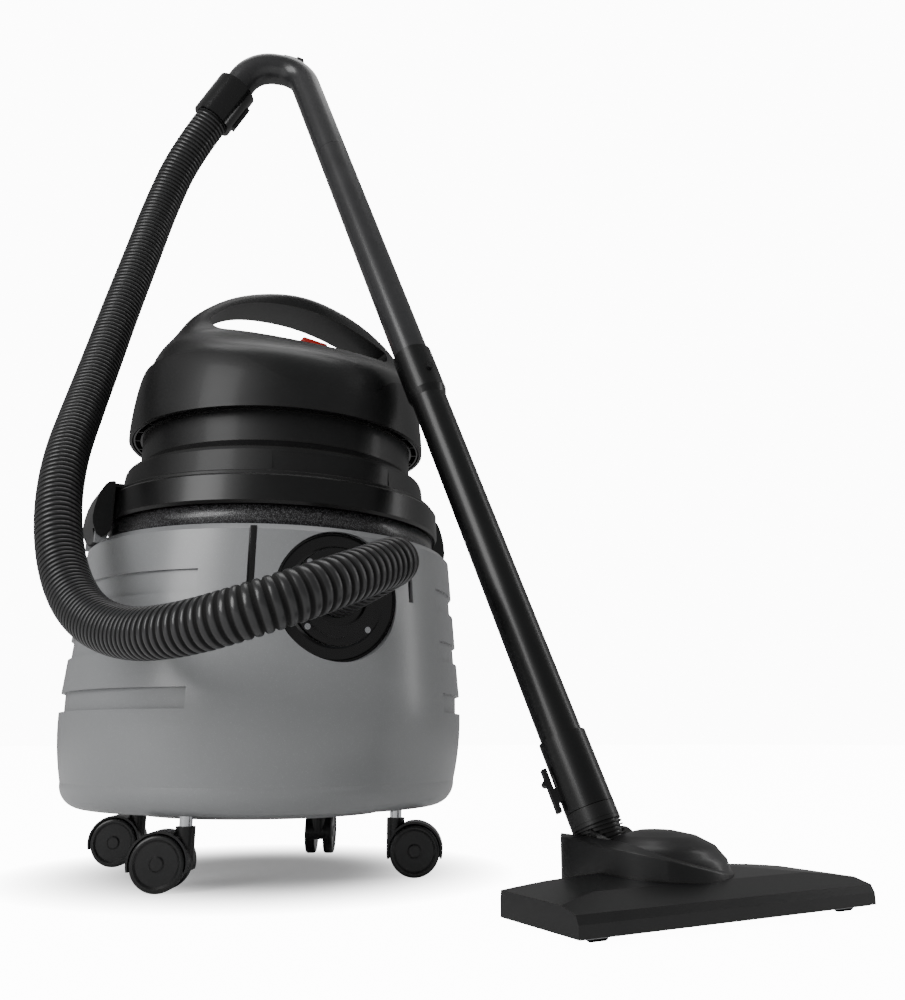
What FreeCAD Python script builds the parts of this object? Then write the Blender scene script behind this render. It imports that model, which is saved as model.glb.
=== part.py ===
# Wet-and-dry drum vacuum cleaner on four twin-wheel castors, with hose, wand and floor nozzle.
# Millimetres, +Z up. The origin is where the tub's axis meets the floor. The hose inlet faces -Y.
import FreeCAD, Part
import math
import os

os.makedirs("parts", exist_ok=True)
V = FreeCAD.Vector
UP = V(0, 0, 1)
SIDEWAYS = V(1, 0, 0)
BACK = V(0, 1, 0)

# Running and seating clearances
run_gap = 0.05
seat_gap = 0.3

# Tub: outer radii and heights of its profile
tub_wall = 3.0
tub_floor_z = 67.0
tub_floor_r = 176.0
tub_heel_r = 203.0
tub_heel_z = 92.0
tub_belly_r = 209.5
tub_belly_z = 138.0
tub_waist_r = 208.0
tub_waist_z = 190.0
tub_neck_r = 176.0
tub_shoulder_width = 21.0
tub_shoulder_r = tub_neck_r + tub_shoulder_width
tub_shoulder_z = 329.0
tub_shoulder_round = 6.0
tub_rim_z = 360.0
tub_base_r = 130.0
tub_base_drop = 7.0
grip_heights = ((159.0, 178.0), (211.0, 231.0), (263.0, 285.0))
grip_depth = 3.0
grip_half_angle = 52.0
groove_angle = 24.0
groove_width = 7.0
groove_depth = 2.5
groove_low_z = 264.0

# Hose inlet in the front of the tub
inlet_z = 263.0
dish_r = 62.0
dish_floor_y = -189.0
flange_r = 46.0
flange_thick = 7.0
inlet_bore_r = 18.0

# Clamp ring round the tub's neck
ring_low_z = 351.0
ring_top_z = 381.0
ring_lap = 8.0
ring_r = tub_neck_r + ring_lap
ring_flange_thick = 4.0
ring_lip = 18.0
ring_inner_r = tub_neck_r - ring_lip

# Head: lid band, neck and bulkhead
lid_wall = 3.0
lid_inset = 7.0
lid_low_r = tub_neck_r - lid_inset
lid_ledge_lap = 3.0
lid_ledge_r = tub_neck_r + lid_ledge_lap
lid_ledge_thick = 4.0
lid_taper = 3.0
lid_top_r = lid_low_r - lid_taper
lid_top_z = 415.0
lid_shelf = 15.0
neck_r = lid_top_r - lid_shelf
neck_foot_z = 424.0
neck_top_z = 480.0
bulkhead_z = 416.0
bulkhead_thick = 4.0
suction_r = 34.0
gasket_thick = 3.0

# Motor cover and skirt: horizontal sections, each height, centre, half length and half width
cover_wall = 3.5
skirt_low_z = 455.0
skirt_step = 2.0
cover_sections = (
    (455.0, 0.0, 164.0, 164.0, 2.0),
    (478.0, 0.0, 163.0, 162.0, 2.0),
    (500.0, 0.0, 160.5, 158.0, 2.0),
    (521.0, 1.0, 157.5, 147.0, 2.05),
    (540.0, 5.0, 153.5, 124.0, 2.1),
    (556.0, 8.0, 149.0, 92.0, 2.2),
    (572.0, 12.0, 142.0, 61.0, 2.4),
    (590.0, 14.0, 133.0, 42.0, 2.6),
    (610.0, 14.0, 116.0, 34.0, 2.6),
    (628.0, 13.0, 91.0, 30.0, 2.6),
    (642.0, 12.0, 60.0, 26.0, 2.4),
    (650.0, 11.0, 26.0, 17.0, 2.2),
)
skirt_gap = 13.0
skirt_flange_gap = 11.8
skirt_flange_width = 34.8
slot_floor_z = 577.0
slot_roof = ((-95.0, 596.0), (-64.0, 619.0), (-17.0, 629.0), (34.0, 627.0), (79.0, 615.0), (121.0, 596.0))
seam_line = ((-190.0, 531.0), (-135.0, 525.0), (-104.0, 518.0), (-86.0, 511.0), (-66.0, 497.0), (-50.0, 488.0),
             (-9.0, 486.0), (30.0, 487.0), (55.0, 492.0), (72.0, 507.0), (95.0, 519.0), (190.0, 531.0))

# Blower outlet at the back of the skirt
blower_r = 17.5
blower_z = 503.0
blower_length = 30.0
blower_wall = 2.8

# Rocker switch on the slot's floor
switch_x = 28.0
switch_y = -24.0
switch_length = 34.0
switch_width = 16.0
switch_tilt = 9.0

# Mains inlet on the neck
gland_reach = neck_r + 0.2

# Motor, fan and filter
motor_r = 48.0
motor_height = 82.0
motor_headroom = 9.0
fan_r = 62.0
fan_low_z = 426.0
fan_height = 40.0
fan_top_z = fan_low_z + fan_height
motor_top_z = fan_top_z + motor_height
shaft_r = 4.0
impeller_r = 54.0
float_ball_r = 17.0
float_cage_r = 27.0
float_cage_low_z = 330.0
float_seat_r = 14.0
filter_r = 72.0
filter_thick = 12.0
filter_low_z = 316.0

# Castors
stem_circle_r = 150.0
stem_r = 6.0
stem_top_z = 90.0
stem_low_z = 46.0
stem_socket_r = 14.0
castor_trail = 20.0
wheel_r = 25.0
wheel_width = 11.5
wheel_gap = 10.0
rim_round = 2.5
hood_r = 28.0
hood_wall = 2.0
hood_web = 8.0
axle_r = 3.0
castor_names = ("front_left", "front_right", "back_right", "back_left")
castor_angles = (225.0, 315.0, 45.0, 135.0)
trail_angles = (151.0, 331.0, 61.0, 151.0)

# Latches on the left and right
latch_pin_r = 2.5
latch_pin_gap = 7.5
latch_pin_x = ring_r + latch_pin_gap
latch_pin_z = 337.0
latch_half_width = 24.0
latch_thick = 11.0
latch_hook_rise = 5.0
latch_hook_z = ring_top_z + latch_hook_rise

# Hose, from its collar on the inlet elbow to the cuff on the handle
hose_r = 21.0
hose_bore_r = 17.0
hose_root_r = 19.0
rib_count = 48
rib_rise = 2.5
rib_top_share = 0.55
hose_end_plain = 15.0
hose_route = ((-5.0, -313.0, 275.0), (-65.0, -354.0, 249.0), (-128.0, -353.0, 224.0), (-172.0, -305.0, 210.0),
              (-200.0, -240.0, 212.0), (-222.0, -178.0, 234.0), (-236.0, -130.0, 277.0), (-242.0, -98.0, 335.0),
              (-236.0, -60.0, 399.0), (-219.0, -16.0, 466.0), (-200.0, 22.0, 540.0), (-181.0, 53.0, 618.0),
              (-160.0, 75.0, 700.0), (-139.0, 94.0, 786.0), (-113.9, 91.6, 869.1), (-82.0, 76.0, 929.0))
collar_r = 26.0
collar_length = 17.0
elbow_r = 22.0
elbow_bend = 30.0

# Handle, wand and cuff
tube_r = 19.0
tube_bore_r = 17.3
wand_foot = (160.3, -302.7, 167.0)
wand_lean = (-0.173, 0.4025, 1.0)
cuff_r = 26.0
cuff_length = 48.0
handle_joint_z = 850.0
handle_corner_low_z = 1002.0
handle_corner_top = (-41.0, 56.0, 1006.0)
tube_joint_z = 540.0
tube_overlap = 50.0
lower_tube_foot_z = 92.0
tube_socket_r = 21.5
button_r = 4.0
slider_span = 62.0
slider_thick = 2.4
slider_turn = 26.0

# Floor nozzle
nozzle_x = 208.0
nozzle_half_length = 146.0
nozzle_front_y = -475.0
nozzle_back_y = -378.0
nozzle_low_z = 5.0
nozzle_front_z = 20.0
nozzle_back_z = 32.0
sole_thick = 3.0
roller_r = 7.0
nozzle_dome_y = -386.0
nozzle_neck_z = 20.0
nozzle_socket_r = 21.5
nozzle_socket_top_z = 134.0
nozzle_socket_low_z = 76.0
clip_turn = -110.0
pivot_x = 181.5
pivot_y = -352.5
pivot_z = 42.0
pivot_r = 20.0
pivot_half = 20.0
pivot_slot_left = 26.0
pivot_slot_right = 22.0
pivot_pin_reach = 31.0
tilt_steep = 2.0
tilt_flat = 68.0
duct_r = 11.0
duct_drop = -8.0
duct_y = -404.0
pivot_pin_r = 3.0
roller_x = 122.0
roller_y = -462.0
roller_width = 12.0
roller_pin_r = 1.5
slot_front_y = -446.0
slot_back_y = -426.0


def vec(p):
    return V(p[0], p[1], p[2])


def save(shape, node):
    shape.exportStep("parts/" + node + ".step")
    print(node, len(shape.Solids), "solids", round(shape.Volume / 1000.0, 1), "cm3")


def cyl(r, length, base, axis=UP):
    return Part.makeCylinder(r, length, base, axis)


def tube(r_out, r_in, length, base, axis=UP):
    axis = V(axis)
    axis.normalize()
    hole = Part.makeCylinder(r_in, length + 2.0, base - axis, axis)
    return Part.makeCylinder(r_out, length, base, axis).cut(hole)


def box(x0, x1, y0, y1, z0, z1):
    return Part.makeBox(x1 - x0, y1 - y0, z1 - z0, V(x0, y0, z0))


def revolve(points):
    wire = Part.makePolygon([V(r, 0, z) for r, z in points] + [V(points[0][0], 0, points[0][1])])
    return Part.Face(wire).revolve(V(0, 0, 0), UP, 360)


def union(shapes):
    return shapes[0].multiFuse(list(shapes[1:])).removeSplitter()


def place_about(shape, centre, axis, degrees):
    moved = shape.copy()
    moved.rotate(centre, axis, degrees)
    return moved


def along(shape, origin, direction):
    """Moves a shape drawn about the Z axis so that it stands at origin along direction."""
    moved = shape.copy()
    turn = FreeCAD.Rotation(UP, direction)
    moved.Placement = FreeCAD.Placement(origin, turn).multiply(moved.Placement)
    return moved


# Tub
def tub_body(inset, floor_z, top_z):
    heel_mid = V(tub_heel_r - 7.0 - inset, 0, tub_floor_z + 6.5 + inset)
    heel = Part.Arc(V(tub_floor_r - inset, 0, floor_z), heel_mid, V(tub_heel_r - inset, 0, tub_heel_z))
    edges = [
        Part.LineSegment(V(0, 0, floor_z), V(tub_floor_r - inset, 0, floor_z)),
        heel.toBSpline(),
        Part.Arc(V(tub_heel_r - inset, 0, tub_heel_z), V(tub_belly_r - inset, 0, tub_belly_z),
                 V(tub_waist_r - inset, 0, tub_waist_z)),
        Part.LineSegment(V(tub_waist_r - inset, 0, tub_waist_z),
                         V(tub_shoulder_r - inset, 0, tub_shoulder_z - tub_shoulder_round - inset)),
        Part.LineSegment(V(tub_shoulder_r - inset, 0, tub_shoulder_z - tub_shoulder_round - inset),
                         V(tub_shoulder_r - tub_shoulder_round, 0, tub_shoulder_z - inset)),
        Part.LineSegment(V(tub_shoulder_r - tub_shoulder_round, 0, tub_shoulder_z - inset),
                         V(tub_neck_r - inset, 0, tub_shoulder_z - inset)),
        Part.LineSegment(V(tub_neck_r - inset, 0, tub_shoulder_z - inset), V(tub_neck_r - inset, 0, top_z)),
        Part.LineSegment(V(tub_neck_r - inset, 0, top_z), V(0, 0, top_z)),
        Part.LineSegment(V(0, 0, top_z), V(0, 0, floor_z)),
    ]
    wire = Part.Wire([e.toShape() for e in edges])
    return Part.Face(wire).revolve(V(0, 0, 0), UP, 360)


def tub_radius(z):
    share = (z - tub_waist_z) / (tub_shoulder_z - tub_shoulder_round - tub_waist_z)
    return tub_waist_r + (tub_shoulder_r - tub_waist_r) * max(0.0, share)


def grip_pocket(z_low, z_high, side, grow):
    core_low = tub_radius(z_low) - grip_depth - grow
    core_high = tub_radius(z_high) - grip_depth - grow
    height = z_high - z_low + 2.0 * grow
    span = 2.0 * grip_half_angle + 2.0 * grow / 3.5
    ring = Part.makeCylinder(tub_belly_r + 20.0, height, V(0, 0, z_low - grow), UP, span)
    core = Part.makeCone(core_low + 0.01, core_high, height, V(0, 0, z_low - grow))
    pocket = ring.cut(core)
    middle = 0.0 if side > 0 else 180.0
    return place_about(pocket, V(0, 0, 0), UP, middle - span / 2.0)


def groove(side, grow):
    depth = groove_depth + grow
    height = tub_shoulder_z - groove_low_z + 12.0 + grow
    cutter = box(-groove_width / 2.0 - grow, groove_width / 2.0 + grow, -tub_belly_r - 10.0,
                 -(tub_radius(groove_low_z) - 4.0 - depth), groove_low_z - grow, groove_low_z + height)
    return place_about(cutter, V(0, 0, 0), UP, side * groove_angle)


def dish(grow):
    return Part.makeCylinder(dish_r + grow, 40.0, V(0, dish_floor_y + grow, inlet_z), V(0, -1, 0))


def castor_place(k):
    a = math.radians(castor_angles[k])
    return V(stem_circle_r * math.cos(a), stem_circle_r * math.sin(a), 0)


def latch_ear(side, y):
    plate = box(-6.0, 6.0, -3.0, 3.0, -11.0, 6.0)
    plate.translate(V(side * latch_pin_x, y, latch_pin_z))
    return plate


ear_y = latch_half_width + 3.0 + 0.4


def make_tub():
    outside = tub_body(0.0, tub_floor_z, tub_rim_z)
    inside = tub_body(tub_wall, tub_floor_z + tub_wall, tub_rim_z + 5.0)
    cuts = [dish(0.0)]
    keeps = [dish(tub_wall)]
    for z_low, z_high in grip_heights:
        for side in (1, -1):
            cuts.append(grip_pocket(z_low, z_high, side, 0.0))
            keeps.append(grip_pocket(z_low, z_high, side, tub_wall))
    for side in (1, -1):
        cuts.append(groove(side, 0.0))
        keeps.append(groove(side, tub_wall))
    shell = outside.cut(cuts).cut(inside.cut(keeps))
    base = Part.makeCone(tub_base_r - 4.0, tub_base_r, tub_base_drop, V(0, 0, tub_floor_z - tub_base_drop))
    adds = [base]
    holes = [cyl(inlet_bore_r + 2.0, 60.0, V(0, dish_floor_y + 20.0, inlet_z), V(0, -1, 0))]
    for k in range(4):
        adds.append(cyl(stem_socket_r, stem_top_z + 4.0 - tub_floor_z, castor_place(k) + V(0, 0, tub_floor_z)))
        holes.append(cyl(stem_r + run_gap, stem_top_z + 1.0 - tub_floor_z + 10.0,
                         castor_place(k) + V(0, 0, tub_floor_z - 10.0)))
    for side in (1, -1):
        for y in (-ear_y, ear_y):
            adds.append(latch_ear(side, y))
        holes.append(cyl(latch_pin_r, 2.0 * ear_y + 20.0, V(side * latch_pin_x, -ear_y - 10.0, latch_pin_z), BACK))
    return shell.multiFuse(adds).cut(holes).removeSplitter()


# Clamp ring, gasket and head base
lid_foot_z = tub_rim_z + ring_flange_thick + gasket_thick


def make_clamp_ring():
    flange_z = tub_rim_z
    return revolve([
        (ring_inner_r, flange_z), (tub_neck_r + seat_gap, flange_z), (tub_neck_r + seat_gap, ring_low_z),
        (ring_r - 2.0, ring_low_z), (ring_r, ring_low_z + 3.0), (ring_r - 1.0, ring_top_z - 2.0),
        (ring_r - 3.0, ring_top_z), (ring_r - 5.0, ring_top_z), (ring_r - 6.0, flange_z + ring_flange_thick),
        (ring_inner_r, flange_z + ring_flange_thick)])


def make_gasket():
    z = tub_rim_z + ring_flange_thick
    return revolve([(ring_inner_r + 1.0, z), (lid_low_r - 2.0, z), (lid_low_r - 2.0, z + gasket_thick),
                    (ring_inner_r + 1.0, z + gasket_thick)])


def make_head_base():
    ledge_z = ring_top_z + seat_gap
    w = lid_wall
    outer = [
        (lid_low_r - 1.0, lid_foot_z), (lid_low_r - 1.0, ledge_z), (lid_ledge_r, ledge_z),
        (lid_ledge_r, ledge_z + lid_ledge_thick - 1.0), (lid_ledge_r - 1.0, ledge_z + lid_ledge_thick),
        (lid_low_r, ledge_z + lid_ledge_thick), (lid_top_r, lid_top_z - 5.0), (lid_top_r - 1.5, lid_top_z - 1.5),
        (lid_top_r - 5.0, lid_top_z + 0.5), (neck_r + 2.0, neck_foot_z - 2.0), (neck_r, neck_foot_z),
        (neck_r, neck_top_z)]
    inner = [
        (neck_r - w, neck_top_z), (neck_r - w, bulkhead_z + bulkhead_thick),
        (suction_r, bulkhead_z + bulkhead_thick), (suction_r, bulkhead_z), (neck_r - w, bulkhead_z),
        (lid_top_r - 5.0, lid_top_z - 8.0), (lid_low_r - w - 3.0, ledge_z + 5.0), (lid_low_r - w - 3.0, lid_foot_z)]
    body = revolve(outer + inner)
    bosses = []
    for k in range(4):
        a = math.radians(45.0 + 90.0 * k)
        spot = V((neck_r - 9.0) * math.cos(a), (neck_r - 9.0) * math.sin(a), 0)
        boss = cyl(6.5, neck_top_z - bulkhead_z - 2.0, spot + V(0, 0, bulkhead_z + 2.0))
        bosses.append(boss)
    body = body.multiFuse(bosses)
    holes = []
    for k in range(4):
        a = math.radians(45.0 + 90.0 * k)
        spot = V((neck_r - 9.0) * math.cos(a), (neck_r - 9.0) * math.sin(a), 0)
        holes.append(cyl(2.0, 22.0, spot + V(0, 0, neck_top_z - 20.0)))
    panel = box(-58.0, 70.0, -lid_low_r - 5.0, -lid_top_r + 24.0, ledge_z + 8.0, lid_top_z - 7.0)
    panel_core = Part.makeCone(lid_low_r - 0.9, lid_top_r - 0.9, 40.0, V(0, 0, ledge_z))
    holes.append(panel.cut(panel_core))
    return body.cut(holes).removeSplitter()


# Motor cover, skirt and vent ring
def ring_wire(z, centre, half_length, half_width, power, inset):
    a = half_length - inset
    b = half_width - inset
    count = 24
    points = []
    for k in range(count):
        t = 2.0 * math.pi * k / count
        c = math.cos(t)
        s = math.sin(t)
        x = math.copysign(abs(c) ** (2.0 / power), c) * a
        y = math.copysign(abs(s) ** (2.0 / power), s) * b
        points.append(V(centre + x, y, z))
    curve = Part.BSplineCurve()
    curve.interpolate(points, PeriodicFlag=True)
    return Part.Wire([curve.toShape()])


def cover_rings(inset, top_z, drop):
    """Rings of the cover's sections, in proportion to the neck that the cover stands over."""
    share = (neck_r + skirt_gap) / cover_sections[0][2]
    rings = []
    for z, centre, half_length, half_width, power in cover_sections:
        if z <= top_z:
            rings.append(ring_wire(z - drop, centre * share, half_length * share, half_width * share, power, inset))
    return rings


def cover_loft(inset, top_z):
    return Part.makeLoft(cover_rings(inset, top_z, 0.0), True, False)


def seam_cutter(shift):
    points = [V(x, -300.0, z + shift) for x, z in seam_line]
    curve = Part.BSplineCurve()
    curve.interpolate(points)
    top_right = V(seam_line[-1][0], -300.0, 800.0)
    top_left = V(seam_line[0][0], -300.0, 800.0)
    edges = [curve.toShape(), Part.makeLine(points[-1], top_right), Part.makeLine(top_right, top_left),
             Part.makeLine(top_left, points[0])]
    return Part.Face(Part.Wire(edges)).extrude(V(0, 600.0, 0))


def slot_cutter():
    roof = Part.BSplineCurve()
    roof.interpolate([V(x, -200.0, z) for x, z in slot_roof])
    left = V(slot_roof[0][0], -200.0, slot_roof[0][1])
    right = V(slot_roof[-1][0], -200.0, slot_roof[-1][1])
    floor_left = V(left.x + 12.0, -200.0, slot_floor_z)
    floor_right = V(right.x - 10.0, -200.0, slot_floor_z)
    edges = [
        roof.toShape(),
        Part.Arc(right, V(right.x - 0.5, -200.0, (right.z + slot_floor_z) / 2.0 - 2.0), floor_right).toShape(),
        Part.makeLine(floor_right, floor_left),
        Part.Arc(floor_left, V(left.x - 1.0, -200.0, (left.z + slot_floor_z) / 2.0), left).toShape(),
    ]
    return Part.Face(Part.Wire(edges)).extrude(V(0, 400.0, 0))


outer_loft = cover_loft(0.0, 999.0)
inner_loft = cover_loft(cover_wall, motor_top_z + motor_headroom)


def switch_frame(shape):
    moved = shape.copy()
    moved.translate(V(switch_x, switch_y, slot_floor_z))
    return moved


def make_motor_cover():
    cover = outer_loft.common(seam_cutter(0.0)).cut([slot_cutter(), inner_loft])
    pocket = switch_frame(box(-switch_length / 2.0 - 2.0, switch_length / 2.0 + 2.0, -switch_width / 2.0 - 2.0,
                              switch_width / 2.0 + 2.0, -12.0, 5.0))
    port_hole = cyl(blower_r + blower_wall + seat_gap, 60.0, V(0, 120.0, blower_z), BACK)
    return cover.cut([pocket, port_hole])


def make_skirt():
    wide = Part.makeLoft(cover_rings(-skirt_step, 541.0, 0.0), True, False)
    hollow = Part.makeLoft(cover_rings(1.5, 541.0, 2.0), True, False)
    shell = wide.cut([seam_cutter(-0.2), hollow])
    flange_r_out = neck_r + skirt_flange_gap
    flange = tube(flange_r_out, flange_r_out - skirt_flange_width, 3.0, V(0, 0, neck_top_z + 0.2))
    port_hole = cyl(blower_r + blower_wall, 60.0, V(0, 120.0, blower_z), BACK)
    screw_holes = []
    for k in range(4):
        a = math.radians(45.0 + 90.0 * k)
        spot = V((neck_r - 9.0) * math.cos(a), (neck_r - 9.0) * math.sin(a), neck_top_z - 5.0)
        screw_holes.append(cyl(2.3, 15.0, spot))
    return union([shell, flange]).cut([port_hole] + screw_holes)


# Blower outlet at the back of the skirt
def make_blower_outlet():
    start = V(0, 150.0, blower_z)
    return tube(blower_r + blower_wall, blower_r, blower_length, start, BACK)


def make_vent_ring():
    z = skirt_low_z + 1.0
    rim = cover_sections[0][2] - 3.0
    parts = [tube(rim, rim - 1.6, 5.0, V(0, 0, z)), tube(neck_r + 2.6, neck_r + seat_gap, 5.0, V(0, 0, z))]
    rib = box(neck_r + 1.5, rim - 1.0, -0.8, 0.8, z + 0.5, z + 4.5)
    for k in range(30):
        parts.append(place_about(rib, V(0, 0, 0), UP, 12.0 * k))
    return union(parts)


# Switch
def make_switch_bezel():
    outer = box(-switch_length / 2.0 - 1.9, switch_length / 2.0 + 1.9, -switch_width / 2.0 - 1.9,
                switch_width / 2.0 + 1.9, -11.5, 2.0)
    hole = box(-switch_length / 2.0, switch_length / 2.0, -switch_width / 2.0, switch_width / 2.0, -9.5, 5.0)
    pin = cyl(1.5, switch_width + 2.0, V(0, -switch_width / 2.0 - 1.0, 1.0 - 4.0), BACK)
    return switch_frame(outer.cut(hole).fuse(pin))


def make_switch_rocker():
    length = switch_length - 1.2
    half = length / 2.0
    rise = half * math.tan(math.radians(switch_tilt))
    y = -switch_width / 2.0 + 0.3
    profile = Part.makePolygon([V(-half, y, 2.0 + rise), V(0, y, 2.0), V(half, y, 2.0 + 5.0), V(half - 2.0, y, -4.0),
                                V(0, y, -6.5), V(-half + 2.0, y, -4.0), V(-half, y, 2.0 + rise)])
    body = Part.Face(profile).extrude(V(0, switch_width - 0.6, 0))
    bore = cyl(1.5 + run_gap, switch_width + 4.0, V(0, -switch_width / 2.0 - 2.0, 1.0 - 4.0), BACK)
    body = body.cut(bore)
    body.rotate(V(0, 0, -3.0), BACK, -4.0)
    return switch_frame(body)


# Motor and fan
def make_fan_housing():
    return revolve([
        (suction_r, fan_low_z - 5.7), (fan_r, fan_low_z - 5.7), (fan_r, fan_top_z), (motor_r - 8.0, fan_top_z),
        (motor_r - 8.0, fan_top_z - 3.0), (fan_r - 3.0, fan_top_z - 3.0), (fan_r - 3.0, fan_low_z - 2.7),
        (suction_r, fan_low_z - 2.7)])


def make_motor_can():
    z0 = fan_top_z + 0.2
    shell = revolve([
        (shaft_r + run_gap, z0), (motor_r, z0), (motor_r, motor_top_z - 6.0), (motor_r - 6.0, motor_top_z),
        (12.0, motor_top_z), (12.0, motor_top_z - 3.0), (motor_r - 7.0, motor_top_z - 3.0),
        (motor_r - 4.0, motor_top_z - 8.0), (motor_r - 4.0, z0 + 4.0), (12.0, z0 + 4.0),
        (12.0, z0 + 8.0), (shaft_r + run_gap, z0 + 8.0)])
    slots = []
    for k in range(8):
        slot = box(motor_r - 8.0, motor_r + 4.0, -5.0, 5.0, z0 + 20.0, motor_top_z - 20.0)
        slots.append(place_about(slot, V(0, 0, 0), UP, 45.0 * k))
    return shell.cut(slots)


def make_rotor():
    z0 = fan_low_z
    shaft = cyl(shaft_r, motor_top_z - 6.0 - z0, V(0, 0, z0))
    core = cyl(26.0, 40.0, V(0, 0, fan_top_z + 16.0))
    commutator = cyl(12.5, 10.0, V(0, 0, fan_top_z + 60.0))
    back = cyl(impeller_r, 1.6, V(0, 0, z0 + 24.0))
    front = tube(impeller_r, 26.0, 1.6, V(0, 0, z0 + 12.0))
    hub = cyl(11.0, 16.0, V(0, 0, z0 + 9.6))
    parts = [shaft, core, commutator, back, front, hub]
    for k in range(9):
        blade = box(9.0, impeller_r - 1.0, -0.8, 0.8, z0 + 12.5, z0 + 25.0)
        blade = place_about(blade, V(10.0, 0, 0), UP, 28.0)
        parts.append(place_about(blade, V(0, 0, 0), UP, 40.0 * k))
    rotor = union(parts)
    return rotor.common(cyl(impeller_r, 200.0, V(0, 0, z0)))


# Float cage, ball and filter under the bulkhead
def make_float_cage():
    top = bulkhead_z
    body = tube(float_cage_r, float_cage_r - 2.5, top - float_cage_low_z, V(0, 0, float_cage_low_z))
    floor_plate = cyl(float_cage_r, 2.5, V(0, 0, float_cage_low_z))
    flange = tube(60.0, float_seat_r, 3.0, V(0, 0, top - 3.0))
    cage = union([body, floor_plate, flange])
    windows = []
    for k in range(6):
        window = box(float_cage_r - 8.0, float_cage_r + 4.0, -8.0, 8.0, float_cage_low_z + 10.0, top - 18.0)
        windows.append(place_about(window, V(0, 0, 0), UP, 60.0 * k))
    return cage.cut(windows)


def make_float_ball():
    return Part.makeSphere(float_ball_r, V(0, 0, float_cage_low_z + 2.5 + float_ball_r + 0.2))


def make_filter():
    body = tube(filter_r, filter_r - filter_thick, bulkhead_z - filter_low_z, V(0, 0, filter_low_z))
    pleats = []
    for k in range(18):
        pleat = box(filter_r - 3.0, filter_r + 2.0, -3.0, 3.0, filter_low_z + 8.0, bulkhead_z - 8.0)
        pleats.append(place_about(pleat, V(0, 0, 0), UP, 20.0 * k))
    return body.cut(pleats)


def make_filter_plate():
    plate = cyl(filter_r + 2.0, 4.0, V(0, 0, filter_low_z - 4.0))
    knob = cyl(9.0, 12.0, V(0, 0, filter_low_z - 16.0))
    stud = cyl(4.0, float_cage_low_z - filter_low_z, V(0, 0, filter_low_z))
    return union([plate, knob, stud])


# Inlet flange, elbow and collar
hose_points = [vec(p) for p in hose_route]
hose_start = (hose_points[1] - hose_points[0]).normalize()
hose_end = (hose_points[-1] - hose_points[-2]).normalize()
inlet_front_y = dish_floor_y - flange_thick


def make_inlet_flange():
    plate = tube(flange_r, inlet_bore_r, flange_thick, V(0, dish_floor_y, inlet_z), V(0, -1, 0))
    ring = tube(flange_r - 7.5, elbow_r + 6.0, 4.0, V(0, inlet_front_y, inlet_z), V(0, -1, 0))
    spigot = tube(inlet_bore_r + 2.0, inlet_bore_r, 22.0, V(0, dish_floor_y, inlet_z), BACK)
    body = union([plate, ring, spigot])
    holes = []
    for k in range(4):
        a = math.radians(45.0 + 90.0 * k)
        spot = V((flange_r - 3.5) * math.cos(a), inlet_front_y - 1.0, inlet_z + (flange_r - 3.5) * math.sin(a))
        holes.append(cyl(1.6, flange_thick + 2.0, spot, BACK))
    return body.cut(holes)


def make_inlet_screws():
    screws = []
    for k in range(4):
        a = math.radians(45.0 + 90.0 * k)
        spot = V((flange_r - 3.5) * math.cos(a), inlet_front_y, inlet_z + (flange_r - 3.5) * math.sin(a))
        screws.append(cyl(1.6, flange_thick, spot, BACK).fuse(cyl(3.0, 1.6, spot, V(0, -1, 0))))
    return Part.makeCompound(screws)


def arc_path(points):
    """Straight runs joined by tangent arcs whose radius is 0.45 of the shorter run over the half turn's tangent."""
    edges = []
    radii = []
    here = points[0]
    for k in range(1, len(points) - 1):
        a = points[k] - points[k - 1]
        b = points[k + 1] - points[k]
        half = a.getAngle(b) / 2.0
        radius = 0.45 * min(a.Length, b.Length) / math.tan(half)
        radii.append(radius)
        trim = radius * math.tan(half)
        a_unit = V(a).normalize()
        b_unit = V(b).normalize()
        enter = points[k] - a_unit * trim
        leave = points[k] + b_unit * trim
        middle = points[k] + (b_unit - a_unit).normalize() * (radius / math.cos(half) - radius)
        edges.append(Part.makeLine(here, enter))
        edges.append(Part.Arc(enter, middle, leave).toShape())
        here = leave
    edges.append(Part.makeLine(here, points[-1]))
    return Part.Wire(edges), radii, edges


def pipe(path, r, start, direction):
    ring = Part.Wire([Part.makeCircle(r, start, direction)])
    return path.makePipeShell([ring], True, False)


def bent_tube(base, knee, mouth, r):
    first = knee - base
    second = mouth - knee
    legs = [cyl(r, first.Length, base, first), cyl(r, second.Length, knee, second), Part.makeSphere(r, knee)]
    return union(legs)


def make_hose_elbow():
    base = V(0, inlet_front_y - 0.2, inlet_z)
    mouth = hose_points[0]
    knee = mouth - hose_start * elbow_bend
    lead = (knee - base).normalize()
    outer = bent_tube(base - lead * 4.0, knee, mouth, elbow_r)
    inner = bent_tube(base - lead * 30.0, knee, mouth + hose_start * 5.0, inlet_bore_r - 1.0)
    foot = cyl(elbow_r + 5.7, 9.0, base, V(0, -1, 0))
    behind = box(-60.0, 60.0, base.y, base.y + 60.0, inlet_z - 60.0, inlet_z + 60.0)
    return union([outer, foot]).cut([inner, behind])


def make_hose_collar():
    start = hose_points[0] - hose_start * (collar_length - 3.0)
    body = tube(collar_r, elbow_r + 0.1, collar_length - 3.0, start, hose_start)
    lip = tube(collar_r + 2.5, hose_r + 0.4, 5.0, hose_points[0] - hose_start * 0.0, hose_start)
    return union([body, lip])


def at_length(edges, s):
    for edge in edges:
        if s <= edge.Length or edge is edges[-1]:
            p = edge.getParameterByLength(min(s, edge.Length))
            return edge.valueAt(p), edge.tangentAt(p)
        s -= edge.Length


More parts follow.
